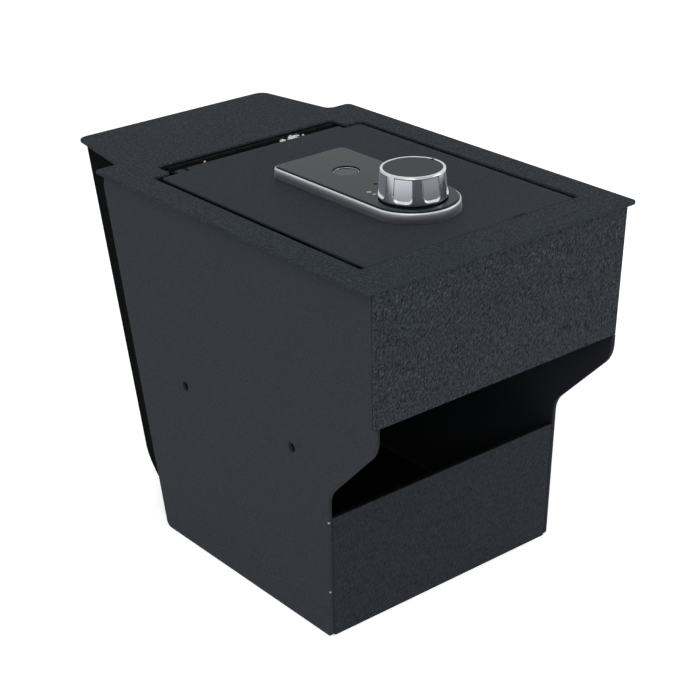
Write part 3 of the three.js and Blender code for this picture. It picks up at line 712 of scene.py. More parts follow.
STEEP = (0.0, -math.radians(58), 0.0)
FINISHES = (
    PowderCoat("plate_coat", srgb(36, 41, 44), srgb(70, 75, 81), 1200.0, 0.75, specular=0.02, speck=0.5),
    # The side walls' inner faces take a darker colour as painted shade; the chips are bare metal.
    PowderCoat("side_coat", srgb(43, 46, 50), srgb(56, 60, 65), 1400.0, 0.2, specular=0.06, painted_shade=srgb(34, 36, 40),
               chips=((-97.4, 55.7, -172.6, 2.4), (-96.3, 57.9, -223.7, 2.4))),
    PowderCoat("front_coat", srgb(17, 22, 26), srgb(68, 74, 81), 1150.0, 0.75, turn=STEEP, stretch=(2.3, 1.0, 1.0),
               speck=0.45),
    # The lower front's upper edge and back take a near-black colour as painted shade.
    PowderCoat("low_front_coat", srgb(25, 29, 34), srgb(44, 48, 55), 1200.0, 0.35, turn=STEEP,
               stretch=(2.8, 1.0, 1.0), speck=0.25, painted_shade=srgb(12, 13, 14)),
    # Interior coat painted lighter than the outside coats, as painted light in the dim inside.
    PowderCoat("inner_coat", srgb(56, 60, 66), srgb(76, 81, 88), 900.0, 0.3),
    # Near-black coat that paints shade on the extension's side walls.
    PowderCoat("deep_coat", srgb(4, 7, 8), srgb(9, 12, 13), 900.0, 0.3, specular=0.01),
    PowderCoat("rear_coat", srgb(35, 38, 42), srgb(48, 52, 57), 1400.0, 0.2),
    PowderCoat("lid_coat", srgb(45, 49, 53), srgb(59, 63, 68), 1500.0, 0.15, 0.5, 0.012),
    PowderCoat("hinge_coat", srgb(6, 7, 8), srgb(12, 13, 15), 1100.0, 0.1, specular=0.03, bare=(0.72, 0.70, 0.71),
               chips=((24.0, 249.7, -2.1, 4.6), (33.0, 249.8, -2.1, 8.0), (41.8, 250.0, -2.1, 2.4),
                      (-41.0, 250.2, -2.1, 1.8))),
    Metal("chrome", (0.61, 0.63, 0.66), 0.2, 0.32, (0.67, 0.69, 0.76)),
    Metal("satin_chrome", (0.64, 0.65, 0.69), 0.48),
    Metal("zinc_steel", (0.50, 0.51, 0.52), 0.32, brush=(12.0, 1.0, 1.0)),
    Moulded("grey_disc", srgb(57, 61, 61), 0.42, 0.03, 0.05),
    Moulded("black_glass", srgb(8, 25, 29), 0.03, 0.085, wear=0.02),
    Moulded("sensor_glass", srgb(14, 26, 28), 0.12, 0.15, wear=0.02),
    Moulded("black_plastic", srgb(28, 29, 31), 0.45, 0.3, 0.25),
    Moulded("gloss_black", srgb(12, 13, 14), 0.12, 0.5),
    # Near-black for painted shade in place of the reset hole and the index notch.
    Moulded("dark_hole", srgb(5, 5, 6), 0.8, 0.1),
    Moulded("white_mark", srgb(214, 216, 220), 0.5, 0.3),
    Moulded("lacquered_board", srgb(24, 64, 44), 0.35, 0.5, 0.1, 700.0),
    Moulded("cell_jacket", srgb(48, 52, 44), 0.3, 0.5),
    Moulded("felt", srgb(22, 22, 24), 0.95, 0.1, 1.0, 1400.0),
)


# -------------------------------------------------------------------- pieces


@dataclass
class SubAssembly:
    """What every sub-assembly has: the finished materials by name."""

    finishes: dict[str, Material]


@dataclass
class SheetShell(SubAssembly):
    """The welded box: top plate, side walls, the two front walls and what stays as the frame has it."""

    plate_half: float = 108.0
    plate_depth: float = 281.5
    plate_t: float = 1.9
    shoulder: float = 89.8
    tail: float = 79.7
    opening: float = 87.6
    neck: float = 73.5
    sheet: float = 3.2
    gap: float = 0.3
    slot_top: float = -89.2
    slot_bottom: float = -170.0
    front_face: float = 1.8
    lean: float = 0.047
    low_face: float = 48.0
    low_lean: float = 0.0438
    back_edge: float = 284.4
    back_lean: float = 0.1547
    bend_drop: float = 15.7
    foot_rise: float = 17.0
    bolt_y: tuple[float, float] = (89.2, 204.5)
    bolt_z: float = -133.1
    bolt_r: float = 3.3

    def front_y(self, z: float) -> float:
        """The upper front wall's outer face: it leans back as it goes down."""
        return self.front_face - self.lean * z

    def low_y(self, z: float) -> float:
        """The lower front wall's outer face."""
        return self.low_face - self.low_lean * z

    def back_y(self, z: float) -> float:
        """The back edge of the side walls, which leans forward as it goes down."""
        return self.back_edge + self.back_lean * z

    def top_plate(self) -> None:
        """The T-shaped plate with the stepped lid opening."""
        half, depth, shoulder, tail = self.plate_half, self.plate_depth, self.shoulder, self.tail
        wide, neck, front, step, back = self.opening, self.neck, 30.4, 243.0, 259.5
        outline = fillet_loop(
            [(-half, 0), (half, 0), (half, depth), (shoulder, depth), (tail, TOTAL_DEPTH), (-tail, TOTAL_DEPTH),
             (-shoulder, depth), (-half, depth)],
            [4.5, 4.5, 4, 6, 8, 8, 6, 4],
        )
        opening = fillet_loop(
            [(-wide, front), (-wide, step), (-neck, step), (-neck, back), (neck, back), (neck, step), (wide, step),
             (wide, front)],
            [1.5, 3, 1.5, 3, 3, 1.5, 3, 1.5],
        )
        profile = rounded_profile(self.plate_t, 0.5, 0.4)
        skin = sheet_skin([outline, opening], profile, lambda p: p - [0, 0, self.plate_t])
        skin.build("coated_top_plate", Body.SHELL, "powder_coat", self.finishes["plate_coat"], "top_plate")

    def side_wall(self, side: int, word: str) -> None:
        """One side wall, with its S-curved front edge and two bolt holes.

        Args:
            side: -1 for the left wall and 1 for the right.
            word: The side's name.
        """
        top, slot = -self.plate_t - self.gap, self.slot_top - self.gap
        bend, foot = self.slot_top - self.bend_drop, self.slot_bottom + self.foot_rise
        behind, brow, tip = self.sheet + self.gap, -12, self.plate_depth - 2
        outline = fillet_loop(
            [(self.front_y(top) + behind, top), (self.front_y(self.slot_top) + behind, slot),
             (self.front_y(self.slot_top), slot), (self.front_y(bend), bend),
             (self.low_y(foot), foot), (self.low_y(-HEIGHT), -HEIGHT), (self.back_y(-HEIGHT), -HEIGHT),
             (self.back_y(brow), brow), (tip, top)],
            [0, 0, 0, 22, 20, 3, 5, 0, 0],
            14,
        )
        holes = [circle_loop(y, self.bolt_z, self.bolt_r) for y in self.bolt_y]

        def lay(p: np.ndarray) -> np.ndarray:
            """Stands the sheet up: u along y, v along z and its thickness along x."""
            return drafted(np.column_stack([side * (BODY_HALF - self.sheet + p[:, 2]), p[:, 0], p[:, 1]]))

        def inside(p: np.ndarray) -> np.ndarray:
            """1 on the wall's inner face, worked out from how far x lies inside the drafted outer face."""
            return np.abs(p[:, 0]) / (1 + DRAFT * p[:, 2] / BODY_HALF) < BODY_HALF - self.sheet + 0.5

        # The inner face is marked for the side coat's painted shade.
        skin = sheet_skin([outline, *holes], rounded_profile(self.sheet, 0.45, 0.35, 3), lay, inside)
        skin.build(f"coated_{word}_wall", Body.SHELL, "powder_coat", self.finishes["side_coat"], f"{word}_side_panel")

    def upper_front(self) -> None:
        """The upper front wall: a flat sheet over the front edges of both side walls, leaning back a little."""
        profile = rounded_profile(-self.plate_t - self.gap - self.slot_top, 0.35, 0.3, 3)

        def lay(p: np.ndarray) -> np.ndarray:
            """Stands the section on the slot's upper edge and leans it back."""
            z = self.slot_top + p[:, 2]
            return drafted(np.column_stack([p[:, 0], p[:, 1] + self.front_y(z), z]))

        skin = sheet_skin([rectangle(-BODY_HALF, 0, BODY_HALF, self.sheet, 0.9)], profile, lay)
        skin.build("coated_upper_front", Body.SHELL, "powder_coat", self.finishes["front_coat"], "front_upper_panel")

    def lower_front(self) -> None:
        """The lower front wall, set back between the side walls."""
        half = BODY_HALF - self.sheet - 0.02

        def lay(p: np.ndarray) -> np.ndarray:
            """Stands the sheet up: u along x, v along z and its thickness along y, leaning back."""
            return drafted(np.column_stack([p[:, 0], self.low_y(p[:, 1]) + p[:, 2], p[:, 1]]))

        def upper_edge(p: np.ndarray) -> np.ndarray:
            """1 along the sheet's upper edge and on its back, where the coat paints shade."""
            return (p[:, 2] > self.slot_bottom - 0.3) | (p[:, 1] > self.low_y(p[:, 2]) + self.sheet - 0.5)

        outline = rectangle(-half, -HEIGHT, half, self.slot_bottom, 1.2)
        # The marked upper edge and back get the coat's near-black painted shade.
        skin = sheet_skin([outline], rounded_profile(self.sheet, 0.45, 0.35, 3), lay, upper_edge)
        material = self.finishes["low_front_coat"]
        skin.build("coated_lower_front", Body.SHELL, "powder_coat", material, "front_lower_panel")

    def build(self) -> None:
        """Builds the walls and dresses the frame's own sheets."""
        self.top_plate()
        self.side_wall(-1, "left")
        self.side_wall(1, "right")
        self.upper_front()
        self.lower_front()
        # The inside sheets get a lighter coat as painted light.
        dress(self.finishes["inner_coat"], "back_panel", "bottom_panel", "strike_bar")
        # The extension's side walls are painted near-black as painted shade.
        dress(self.finishes["deep_coat"], "extension_left_wall", "extension_right_wall")
        dress(self.finishes["rear_coat"], "extension_back_panel")


@dataclass
class LidPanel(SubAssembly):
    """The flat lid with its nicks and holes, and the mat under everything."""

    thickness: float = 1.6
    top: float = -0.3
    half: float = 83.3
    neck: float = 69.2
    front: float = 31.2
    step: float = 238.7
    back: float = 244.6
    nick: tuple[float, float] = (33.0, 42.5)
    nick_y: float = 33.2
    slit: tuple[float, float] = (-63.0, -60.0)
    spindle_r: float = 4.9
    mat_half: tuple[float, float] = (88.7, 85.75)
    mat_y: float = 151.9
    mat_z: float = -254.5
    mat_t: float = 3.0

    def panel(self) -> None:
        """The lid itself: full width in front, narrow between the opening's steps at the back."""
        half, neck, front, step, back = self.half, self.neck, self.front, self.step, self.back
        (nick0, nick1), (slit0, slit1) = self.nick, self.slit
        outline = fillet_loop(
            [(-half, front), (nick0, front), (nick0, self.nick_y), (nick1, self.nick_y), (nick1, front), (half, front),
             (half, step), (neck, step), (neck, back), (slit1, back), (slit1, step), (slit0, step), (slit0, back),
             (-neck, back), (-neck, step), (-half, step)],
            [2, 0, 0.5, 0.5, 0, 2, 3, 0, 1.5, 0, 0.5, 0.5, 0, 1.5, 0, 3],
        )
        holes = [circle_loop(0, KNOB_Y, self.spindle_r), *(circle_loop(0, y, SCREW_R, 24) for y in SCREW_Y)]
        profile = rounded_profile(self.thickness, 0.4, 0.25, 3)
        skin = sheet_skin([outline, *holes], profile, lambda p: p + [0, 0, self.top - self.thickness])
        skin.build("coated_lid", Body.LID, "lid_coat", self.finishes["lid_coat"], "lid_panel")

    def mat(self) -> None:
        """The felt mat: a rounded sheet whose upper face rises and falls by a fifth of a millimetre.

        Square rings of u and v are drawn in by the ratio of their largest coordinate to their 18-norm, which rounds
        the corners. The upper face is the product of two sines, and both it and the thickness fade out at the rim.
        """
        n = 90
        u, v = np.meshgrid(np.linspace(-1, 1, n), np.linspace(-1, 1, n))
        ring = np.maximum(np.abs(u), np.abs(v))
        scale = ring / (np.abs(u) ** 18 + np.abs(v) ** 18) ** (1 / 18)
        x, y = self.mat_half[0] * u * scale, self.mat_y + self.mat_half[1] * v * scale
        rim = np.clip((1 - ring) * 60, 0, 1)
        wave = 0.12 * np.sin(x / 9.1 + 1.2 * np.sin(y / 17)) * np.sin(y / 11.3) - 0.12
        z = self.mat_z + self.mat_t * (1 - (1 - rim) ** 2 * 0.35) + wave * rim
        upper = np.stack([x, y, z], -1)
        lower = np.stack([x, y, np.full_like(z, self.mat_z)], -1)
        edge = np.concatenate([np.arange(n), np.arange(1, n) * n + n - 1, n * n - 2 - np.arange(n - 1),
                               np.arange(n - 2, 0, -1) * n])
        skin = Skin()
        skin.grid(upper, around=False)
        skin.grid(lower, around=False)
        skin.grid(np.stack([upper.reshape(-1, 3)[edge], lower.reshape(-1, 3)[edge]]))
        skin.build("felt_mat", Body.SHELL, "mat", self.finishes["felt"], "floor_mat")

    def build(self) -> None:
        """Builds the lid panel and the mat."""
        self.panel()
        self.mat()


@dataclass
class Hinge(SubAssembly):
    """Barrel hinge: five knuckles on each leaf take turns along the pin."""

    y: float = 252.6
    z: float = -2.95
    half: float = 69.2
    knuckles: int = 10
    radius: float = 2.6
    bore: float = 1.5
    gap: float = 0.4
    leaf_t: float = 1.5

    def knuckle(self, skin: Skin, x0: float, x1: float) -> None:
        """A short tube with softened ends, turned about the pin.

        Args:
            skin: What it is added to.
            x0: Its left end.
            x1: Its right end.
        """
        ring = soften([(self.bore, x0), (self.radius, x0), (self.radius, x1), (self.bore, x1)], 0.35, closed=True)
        rows = lathe_rows(ring, 0, 40)
        skin.grid(np.stack([rows[..., 2], self.y + rows[..., 0], self.z + rows[..., 1]], -1), loop=True)

    def leaf(self, name: str, side: int, odd: int, far: float, body: Body, node: str) -> None:
        """One leaf: its flat plate, the tongues that reach its knuckles, and the knuckles.

        Args:
            name: The piece's name.
            side: -1 towards the front, 1 towards the back.
            odd: Which knuckles are its own.
            far: How far the plate reaches from the pin.
            body: What it rides on.
            node: The frame's node that it stands for.
        """
        pitch = 2 * self.half / self.knuckles
        near, tongue, shortest = self.radius + self.gap, 0.9, 0.25

        def lay(p: np.ndarray) -> np.ndarray:
            """Lays the plate level with the pin."""
            return np.column_stack([p[:, 0], self.y + side * p[:, 1], p[:, 2] + self.z - self.leaf_t / 2])

        skin = Skin()
        corners = [(-self.half, far), (-self.half, near)]
        for index in range(odd, self.knuckles, 2):
            x0 = -self.half + index * pitch + self.gap / 2
            x1 = x0 + pitch - self.gap
            corners += [(x0, near), (x0, tongue), (x1, tongue), (x1, near)]
            self.knuckle(skin, x0, x1)
        corners += [(self.half, near), (self.half, far)]
        outline = fillet_loop(corners, [2.5, *[0.0] * (len(corners) - 2), 2.5])
        outline = outline[np.linalg.norm(outline - np.roll(outline, 1, 0), axis=1) > shortest]
        skin.join(sheet_skin([outline], rounded_profile(self.leaf_t, 0.3, 0.2, 3), lay))
        skin.build(name, body, "dark_steel", self.finishes["hinge_coat"], node)

    def build(self) -> None:
        """Builds both leaves and dresses the pin."""
        self.leaf("lid_hinge_leaf", -1, 0, 24.6, Body.LID, "hinge_moving_leaf")
        self.leaf("plate_hinge_leaf", 1, 1, 20.4, Body.SHELL, "hinge_fixed_leaf")
        dress(self.finishes["zinc_steel"], "hinge_pin")


@dataclass
class LockModule(SubAssembly):
    """The lock's housing on the lid: chrome frame, black glass, fingerprint window and small marks."""

    half: float = 30.0
    back_y: float = 191.8
    top: float = 6.4
    glass_top: float = 7.2
    glass_foot: float = 4.8
    rim: float = 1.4
    floor: float = -0.2
    corner: float = 6.0
    spindle_r: float = 6.0
    sensor_y: float = 151.0
    sensor_foot: float = 4.2
    sensor_r: float = 8.2
    pad_r: float = 7.7

    def outline(self, inset: float, steps: int = 40) -> np.ndarray:
        """The housing's outline: a half round in front and small rounded corners behind.

        Args:
            inset: How far inside the housing's own outline it runs.
            steps: How many pieces each arc has.

        Returns:
            The outline.
        """
        half, back, corner = self.half - inset, self.back_y - inset, self.corner - inset
        front, nose = KNOB_Y - half, half - 0.02
        corners = [(-half, front), (half, front), (half, back), (-half, back)]
        return fillet_loop(corners, [nose, nose, corner, corner], steps)

    def bezel(self) -> None:
        """The satin frame, and a floor across it.

        The frame's wall leans in a little and its upper edge is a quarter of an ellipse: the inset runs from the lean
        to the rim with one minus cosine, and the height rises to the top with the sine.
        """
        t = np.linspace(0, np.pi / 2, 10)
        lean, high = 0.45, 1.4
        edge = np.column_stack([lean + (self.rim - 0.15 - lean) * (1 - np.cos(t)), self.top - high * (1 - np.sin(t))])
        wall = np.concatenate([[(0.0, self.floor)], edge, [(self.rim, self.top - 0.1), (self.rim, 1.7),
                                                           (self.rim + 0.4, self.floor + 0.2)]])
        skin = Skin()
        skin.grid(carried(self.outline(0.0), wall), loop=True)
        skin.build("lock_frame", Body.LID, "chrome", self.finishes["satin_chrome"])
        holes = [circle_loop(0, KNOB_Y, self.spindle_r, 40), *(circle_loop(0, y, SCREW_R, 24) for y in SCREW_Y)]
        base = sheet_skin([self.outline(self.rim + 0.5, 24), *holes], rounded_profile(1.7, 0.2, 0.2, 2),
                          lambda p: p + [0, 0, self.floor + 0.1])
        base.build("lock_base", Body.LID, "chrome", self.finishes["satin_chrome"], "lock_bezel")

    def glass(self) -> None:
        """The glass face: its rim falls away as a quarter of an ellipse, and its two round holes have small edges."""
        thick = self.glass_top - self.glass_foot
        t = np.linspace(0, np.pi / 2, 8)
        fall = np.column_stack([1.1 * (1 - np.cos(t)), thick - 0.8 * (1 - np.sin(t))])
        rim = np.concatenate([[(0.5, 0.0), (0.15, 0.0), (0.0, 0.15)], fall, [(1.5, thick)]])
        hole = rounded_profile(thick, 0.12, 0.3)
        loops = [self.outline(self.rim + 0.12), circle_loop(0, KNOB_Y, self.spindle_r, 60),
                 circle_loop(0, self.sensor_y, self.sensor_r + 0.5, 96)]
        skin = sheet_skin(loops, [rim, hole, hole], lambda p: p + [0, 0, self.glass_foot])
        skin.build("lock_glass", Body.LID, "black_glass", self.finishes["black_glass"], "glass_face")

    def sensor(self) -> None:
        """The sensor at the bottom of a round well in the glass: a bright ring and a slightly dished pad inside it."""
        foot, top, outer, pad = self.sensor_foot, self.glass_top - 0.8, self.sensor_r, self.pad_r
        inner = outer - 0.45
        ring = soften([(outer, foot), (outer, top), (inner, top), (inner, foot)], 0.2, 4, closed=True)
        skin = Skin()
        skin.grid(lathe_rows(ring, self.sensor_y, 120), loop=True)
        skin.build("sensor_lip", Body.LID, "chrome", self.finishes["chrome"], "sensor_ring")
        out = np.linspace(pad, 0, 14)
        dish = np.column_stack([out, top - 0.2 - 0.05 * (1 - (out / pad) ** 2)])
        skin = Skin()
        skin.grid(lathe_rows(np.concatenate([dish, [(0, foot), (pad, foot)]]), self.sensor_y, 96), loop=True)
        skin.build("sensor_window", Body.LID, "black_plastic", self.finishes["sensor_glass"], "sensor_pad")

    def pill(self, name: str, x: float, y: float, length: float, width: float, turn: float, finish: str) -> None:
        """A tiny raised mark: a rounded bar a fiftieth of a millimetre proud of the glass.

        Args:
            name: The piece's name.
            x: Its middle's x.
            y: Its middle's y.
            length: Its length.
            width: Its width.
            turn: How far its length turns from +x, in degrees.
            finish: Its finish.
        """
        outline = turned_bar(-length / 2, length / 2, width, width / 2 - 1e-4, turn, x, y)
        skin = sheet_skin([outline], rounded_profile(0.12, 0.03, 0.03, 2), lambda p: p + [0, 0, self.glass_top - 0.1])
        skin.build(name, Body.LID, "black_plastic", self.finishes[finish])

    def build(self) -> None:
        """Builds the housing's pieces."""
        self.bezel()
        self.glass()
        self.sensor()
        self.pill("status_mark_1", -15.3, 109.8, 3.0, 1.3, -41, "white_mark")
        self.pill("status_mark_2", -15.2, 104.5, 2.2, 1.2, -41, "white_mark")
        # A near-black raised mark paints the shade of the reset hole.
        self.pill("reset_hole", -2.9, 118.4, 3.0, 3.0, 0, "dark_hole")
        dress(self.finishes["lacquered_board"], "circuit_board")


@dataclass
class Knob(SubAssembly):
    """The turning knob: a tapered chrome drum with seven satin flats that run out into a round skirt."""

    foot: float = 8.4
    height: float = 17.5
    foot_r: float = 21.8
    top_r: float = 20.15
    skirt: float = 0.8
    cap_r: float = 18.3
    bore: float = 4.3
    bore_top: float = 10.9
    flats: int = 7
    flat_half: float = 16.0
    first_flat: float = 6.0
    mark_angle: float = 8.0
    mark_reach: tuple[float, float] = (16.6, 19.5)
    flat_foot: float = 0.9
    flat_head: float = 1.3
    ledge: float = 1.3
    corner: float = 3.2

    def cut_depth(self, angle: np.ndarray, height: np.ndarray, radius: np.ndarray) -> tuple[np.ndarray, np.ndarray]:
        """How far the flats cut into the drum.

        Across a flat the surface is a plane: its distance from the axis is constant, so the radius there is that
        distance divided by the cosine of the angle from the flat's middle. At the foot of a flat the cut runs out
        through a short ledge whose corners are rounded, and at its head it fades into the rim.

        Args:
            angle: Angles round the axis.
            height: Heights above the knob's foot.
            radius: The drum's own radius there.

        Returns:
            The cut depth and how much each point belongs to a flat, from 0 to 1.
        """
        step = 2 * np.pi / self.flats
        off = (angle - math.radians(self.first_flat) + step / 2) % step - step / 2
        half = math.radians(self.flat_half)
        plane = radius * math.cos(half) - 0.3
        across = plane * np.tan(np.clip(off, -1.2, 1.2))
        chord = plane * math.tan(half)
        over = np.clip(np.abs(across) - (chord - self.corner), 0, self.corner)
        edge = self.flat_foot + self.corner - np.sqrt(np.maximum(self.corner**2 - over**2, 0))
        rise = np.clip((height - edge) / self.ledge, 0, 1)
        fall = np.clip((self.height - self.flat_head - height) / 0.5, 0, 1)
        full = np.maximum(radius - plane / np.cos(np.clip(off, -half, half)), 0) * (np.abs(off) <= half)
        sides = np.clip((half - np.abs(off)) / math.radians(0.35), 0, 1)
        gate = rise * rise * (3 - 2 * rise) * fall
        return full * gate, sides * gate

    def drum(self) -> None:
        """The drum, carried round as a grid whose columns crowd at the edges of each flat."""
        step, half, near = 360 / self.flats, self.flat_half, 0.3
        inner = np.linspace(-half + near, half - near, 25)
        land = np.linspace(half + near, step - half - near, 9)
        one = np.concatenate([[-half], inner, [half], land])
        angle = np.radians((self.first_flat + (one[None, :] + step * np.arange(self.flats)[:, None])).ravel())
        mid = np.linspace(self.skirt, self.flat_foot + self.corner + self.ledge + 0.4, 44)
        high = np.linspace(mid[-1] + 0.8, self.height - 2.2, 8)
        end = np.linspace(self.height - 1.9, self.height - 1.15, 6)
        height = np.concatenate([mid, high, end])
        radius = self.foot_r + (self.top_r - self.foot_r) * (height - self.skirt) / (self.height - 0.9 - self.skirt)
        grid_a, grid_h = np.meshgrid(angle, height)
        depth, facet = self.cut_depth(grid_a, grid_h, radius[:, None])
        cut = radius[:, None] - depth
        wall = np.stack([cut * np.cos(grid_a), KNOB_Y + cut * np.sin(grid_a), self.foot + grid_h], -1)
        top, lip, recess = self.height - 0.05, self.foot_r - 0.9, self.cap_r + 0.15
        lower = self.turned(soften(
            [(self.bore, 0), (lip, 0), (lip, -0.35), (self.foot_r, -0.35), (self.foot_r, self.skirt)], 0.4, 5,
        ), angle)
        upper = self.turned(soften(
            [(self.top_r + 0.02, top - 1.1), (self.top_r - 0.05, top - 0.22), (self.top_r - 0.25, top), (recess, top),
             (recess, top - 1.8), (0, top - 1.8)],
            0.1, 4,
        ), angle)
        skin = Skin()
        skin.grid(np.concatenate([lower, wall]), mark=np.concatenate([np.zeros(lower.shape[:2]), facet]))
        skin.grid(np.concatenate([wall[-1:], upper]))
        skin.grid(self.turned([(0, self.bore_top), (self.bore, self.bore_top), (self.bore, 0)], angle))
        skin.build("chrome_knob", Body.KNOB, "chrome", self.finishes["chrome"], "knob")

    def turned(self, profile: Line, turn: int | np.ndarray) -> np.ndarray:
        """A turned part of the knob, with heights from the knob's foot."""
        return lathe_rows(np.asarray(profile, float) + [0, self.foot], KNOB_Y, turn)

    def cap(self) -> None:
        """The satin disc in the knob's top: nearly flat, with a fine step at its edge."""
        top = self.height - 0.1
        r = np.linspace(self.cap_r - 0.7, 0, 10)
        face = np.column_stack([r, top + 0.03 * (1 - (r / self.cap_r) ** 2)])
        edge = [(self.cap_r, top - 1.4), (self.cap_r, top - 0.32), (self.cap_r - 0.12, top - 0.12),
                (self.cap_r - 0.4, top - 0.02)]
        skin = Skin()
        skin.grid(self.turned(np.concatenate([[(0, top - 1.4)], edge, face]), 128))
        skin.build("knob_disc", Body.KNOB, "grey_disc", self.finishes["grey_disc"], "knob_cap")

    def index(self) -> None:
        """The index mark across the rim: a short near-black bar a hair proud, painted shade in place of a notch."""
        outline = turned_bar(*self.mark_reach, 2.0, 0.5, self.mark_angle, 0, KNOB_Y)
        skin = sheet_skin([outline], rounded_profile(0.35, 0.08, 0.08, 2),
                          lambda p: p + [0, 0, self.foot + self.height - 0.36])
        skin.build("index_mark", Body.KNOB, "black_plastic", self.finishes["dark_hole"])

    def collar(self) -> None:
        """The dark ring that the knob turns on."""
        inner, outer, low, high = 5.4, 20.4, 7.1, 8.1
        line = soften([(inner, low), (outer, low), (outer, high), (inner, high)], 0.2, closed=True)
        skin = Skin()
        skin.grid(lathe_rows(line, KNOB_Y, 112), loop=True)
        skin.build("knob_ring", Body.LID, "black_plastic", self.finishes["gloss_black"], "knob_collar")

    def build(self) -> None:
        """Builds the knob and dresses the latch below it."""
        self.drum()
        self.cap()
        self.index()
        self.collar()
        dress(self.finishes["zinc_steel"], "spindle", "cam_lever", "cam_nut")


@dataclass
class BatteryBox(SubAssembly):
    """The battery housing under the lid, its cells and its screws."""

    def build(self) -> None:
        """Dresses the frame's own nodes."""
        dress(self.finishes["black_plastic"], "battery_housing", "battery_cover")
        dress(self.finishes["cell_jacket"], "battery_1", "battery_2", "battery_3")
        dress(self.finishes["zinc_steel"], "module_screw_1", "module_screw_2", "cover_screw")


# -------------------------------------------------------------------- studio


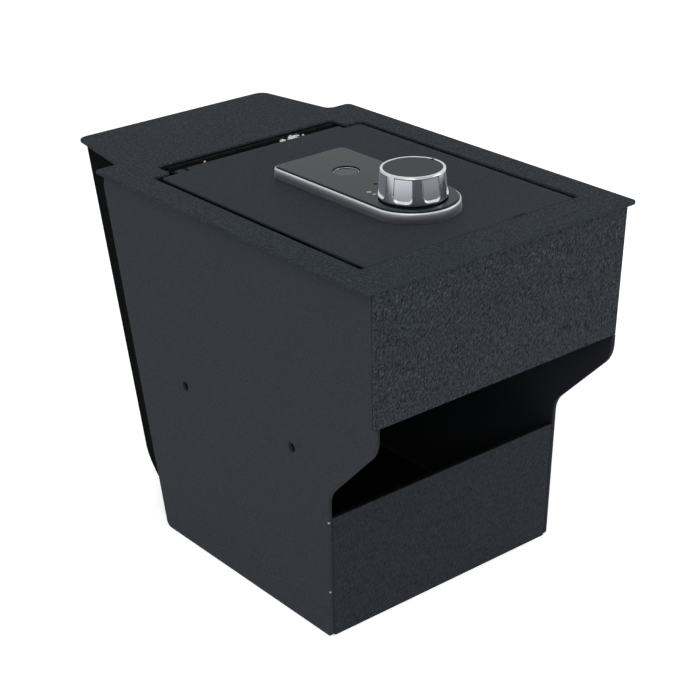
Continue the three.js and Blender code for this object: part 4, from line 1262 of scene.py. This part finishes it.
@dataclass
class Studio:
    """Camera, white floor, even sky and a few soft lamps."""

    azimuth: float = -38.5009
    elevation: float = 24.9226
    roll: float = 1.6106
    focal_px: float = 1763.585
    offset: Triple = (0.0930607, 0.0607852, -1.0190236)
    picture: int = 700
    ambient: float = 0.62
    glow: float = 0.5
    aim: Triple = (0.0, 0.0, 0.14)

    def camera(self) -> None:
        """The camera that was solved from the picture's own edges.

        Its axes are right, up and back. Back points from the object to the camera by azimuth and elevation, right is
        level, and both are then rolled. The offset is the plate's origin seen in those axes.
        """
        a, e, r = (math.radians(v) for v in (self.azimuth, self.elevation, self.roll))
        back = np.array([math.sin(a) * math.cos(e), -math.cos(a) * math.cos(e), math.sin(e)])
        right = np.array([math.cos(a), math.sin(a), 0.0])
        turn = np.array([[math.cos(r), -math.sin(r), 0], [math.sin(r), math.cos(r), 0], [0, 0, 1]])
        axes = turn @ np.stack([right, np.cross(back, right), back])
        spot = place(np.zeros(3)) - axes.T @ np.array(self.offset)
        data = bpy.data.cameras.new("camera")
        data.sensor_width = 36.0
        data.lens = self.focal_px / self.picture * data.sensor_width
        data.clip_start, data.clip_end = 0.05, 60.0
        camera = add_object("camera", data)
        matrix = Matrix(axes.T.tolist()).to_4x4()
        matrix.translation = Vector(spot.tolist())
        camera.matrix_world = matrix
        bpy.context.scene.camera = camera

    def seen(self, graph: Graph) -> Socket:
        """1 for rays from the camera and for reflections and refractions, 0 for diffuse light."""
        path = graph.node("LightPath").outputs
        gloss = graph.math("MAXIMUM", path["Is Glossy Ray"], path["Is Transmission Ray"])
        return graph.math("MAXIMUM", path["Is Camera Ray"], gloss)

    def world(self) -> None:
        """White where it is seen, a plain level where it lights."""
        world = bpy.data.worlds.new("studio")
        world.use_nodes = True
        bpy.context.scene.world = world
        nodes, g = world.node_tree.nodes, Graph(world.node_tree)
        g.fill(nodes["Background"], {"Color": (0.96, 0.98, 1.0), "Strength": self.ambient})
        white = g.node("Background", {"Color": (1.0, 1.0, 1.0)})
        both = {0: self.seen(g), 1: nodes["Background"].outputs[0], 2: white.outputs[0]}
        g.fill(nodes["World Output"], {"Surface": g.node("MixShader", both).outputs[0]})

    def matt(
        self, name: str, points: np.ndarray, faces: list[list[int]], grey: float
    ) -> tuple[bpy.types.Object, Graph]:
        """Puts a matt surface on the stage.

        Args:
            name: Its name.
            points: Its points in metres.
            faces: Its faces.
            grey: How bright it is painted.

        Returns:
            The surface and its material's graph.
        """
        mesh = bpy.data.meshes.new(name)
        mesh.from_pydata(points.tolist(), [], faces)
        surface = add_object(name, mesh)
        material, g, _ = blank_material(f"{name}_paint")
        g.shade({"Base Color": (grey, grey, grey), "Roughness": 1.0, "Specular IOR Level": 0.0})
        mesh.materials.append(material)
        return surface, g

    def floor(self) -> None:
        """A wide white floor that keeps the object's soft shadow: painted white, with a glow where it is seen."""
        wide, below = 15.0, -0.0003
        corners = np.array([[-wide, -wide, below], [wide, -wide, below], [wide, wide, below], [-wide, wide, below]])
        _, g = self.matt("floor", corners, [[0, 1, 2, 3]], 0.93)
        nodes = g.tree.nodes
        glow = g.node("Emission", {"Strength": g.math("MULTIPLY", self.seen(g), self.glow)})
        both = g.node("AddShader", {0: nodes["Principled BSDF"].outputs[0], 1: glow.outputs[0]})
        g.fill(nodes["Material Output"], {"Surface": both.outputs[0]})

    def card(self, name: str, start: float, stop: float, grey: float) -> None:
        """A matt card that only reflections see: it runs out along the floor and bends up behind the camera.

        Its profile goes out from near the knob's axis, a little above the floor, then a quarter round and up. The
        profile turns about the axis from one azimuth to the other.

        Args:
            name: Its name.
            start: The azimuth where it begins, in degrees from +x.
            stop: Where it ends.
            grey: How bright it is painted.
        """
        near, far, bend, low, high, axis_y = 0.3, 2.5, 0.3, 0.002, 1.1, -0.088
        t = np.linspace(-np.pi / 2, 0, 8)
        curve = np.column_stack([far + bend * np.cos(t), low + bend + bend * np.sin(t)])
        line = np.concatenate([[(near, low)], curve, [(far + bend, high)]])
        rows = lathe_rows(line, axis_y, np.radians(np.linspace(start, stop, 24)))
        card, _ = self.matt(name, rows.reshape(-1, 3), quads(*rows.shape[:2]).tolist(), grey)
        card.visible_camera = card.visible_diffuse = card.visible_shadow = False

    def lamp(self, name: str, spot: Triple, size: tuple[float, float], power: float) -> bpy.types.Object:
        """A soft rectangular lamp aimed at the middle of the object.

        Args:
            name: Its name.
            spot: Where it hangs, in metres.
            size: Its width and height in metres.
            power: Its power in watts.

        Returns:
            The lamp.
        """
        data = bpy.data.lights.new(name, "AREA")
        data.shape = "RECTANGLE"
        data.size, data.size_y = size
        data.energy = power
        lamp = add_object(name, data)
        lamp.location = spot
        lamp.rotation_mode = "QUATERNION"
        lamp.rotation_quaternion = (Vector(self.aim) - Vector(spot)).to_track_quat("-Z", "Y")
        return lamp

    def build(self) -> None:
        """Sets up the whole studio."""
        bpy.context.scene.view_settings.view_transform = "Standard"
        self.camera()
        self.world()
        self.floor()
        self.card("dark_card", -142.0, -92.0, 0.16)
        self.card("grey_card", -92.0, -38.0, 0.50)
        self.lamp("key", (-1.3, -1.2, 1.9), (1.3, 1.0), 12.0)
        self.lamp("fill", (1.6, -1.3, 1.0), (1.2, 1.2), 7.0)
        self.lamp("front", (-0.68, -0.92, 0.66), (0.4, 0.4), 3.0).visible_glossy = False


def main() -> None:
    """Builds the studio and every sub-assembly in order."""
    logging.basicConfig(level=logging.INFO, format="%(message)s")
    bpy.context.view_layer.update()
    Studio().build()
    effects = Effects()
    finishes = {finish.name: finish.make(effects) for finish in FINISHES}
    for part in (SheetShell, LidPanel, Hinge, LockModule, Knob, BatteryBox):
        part(finishes).build()


if __name__ == "__main__":
    main()
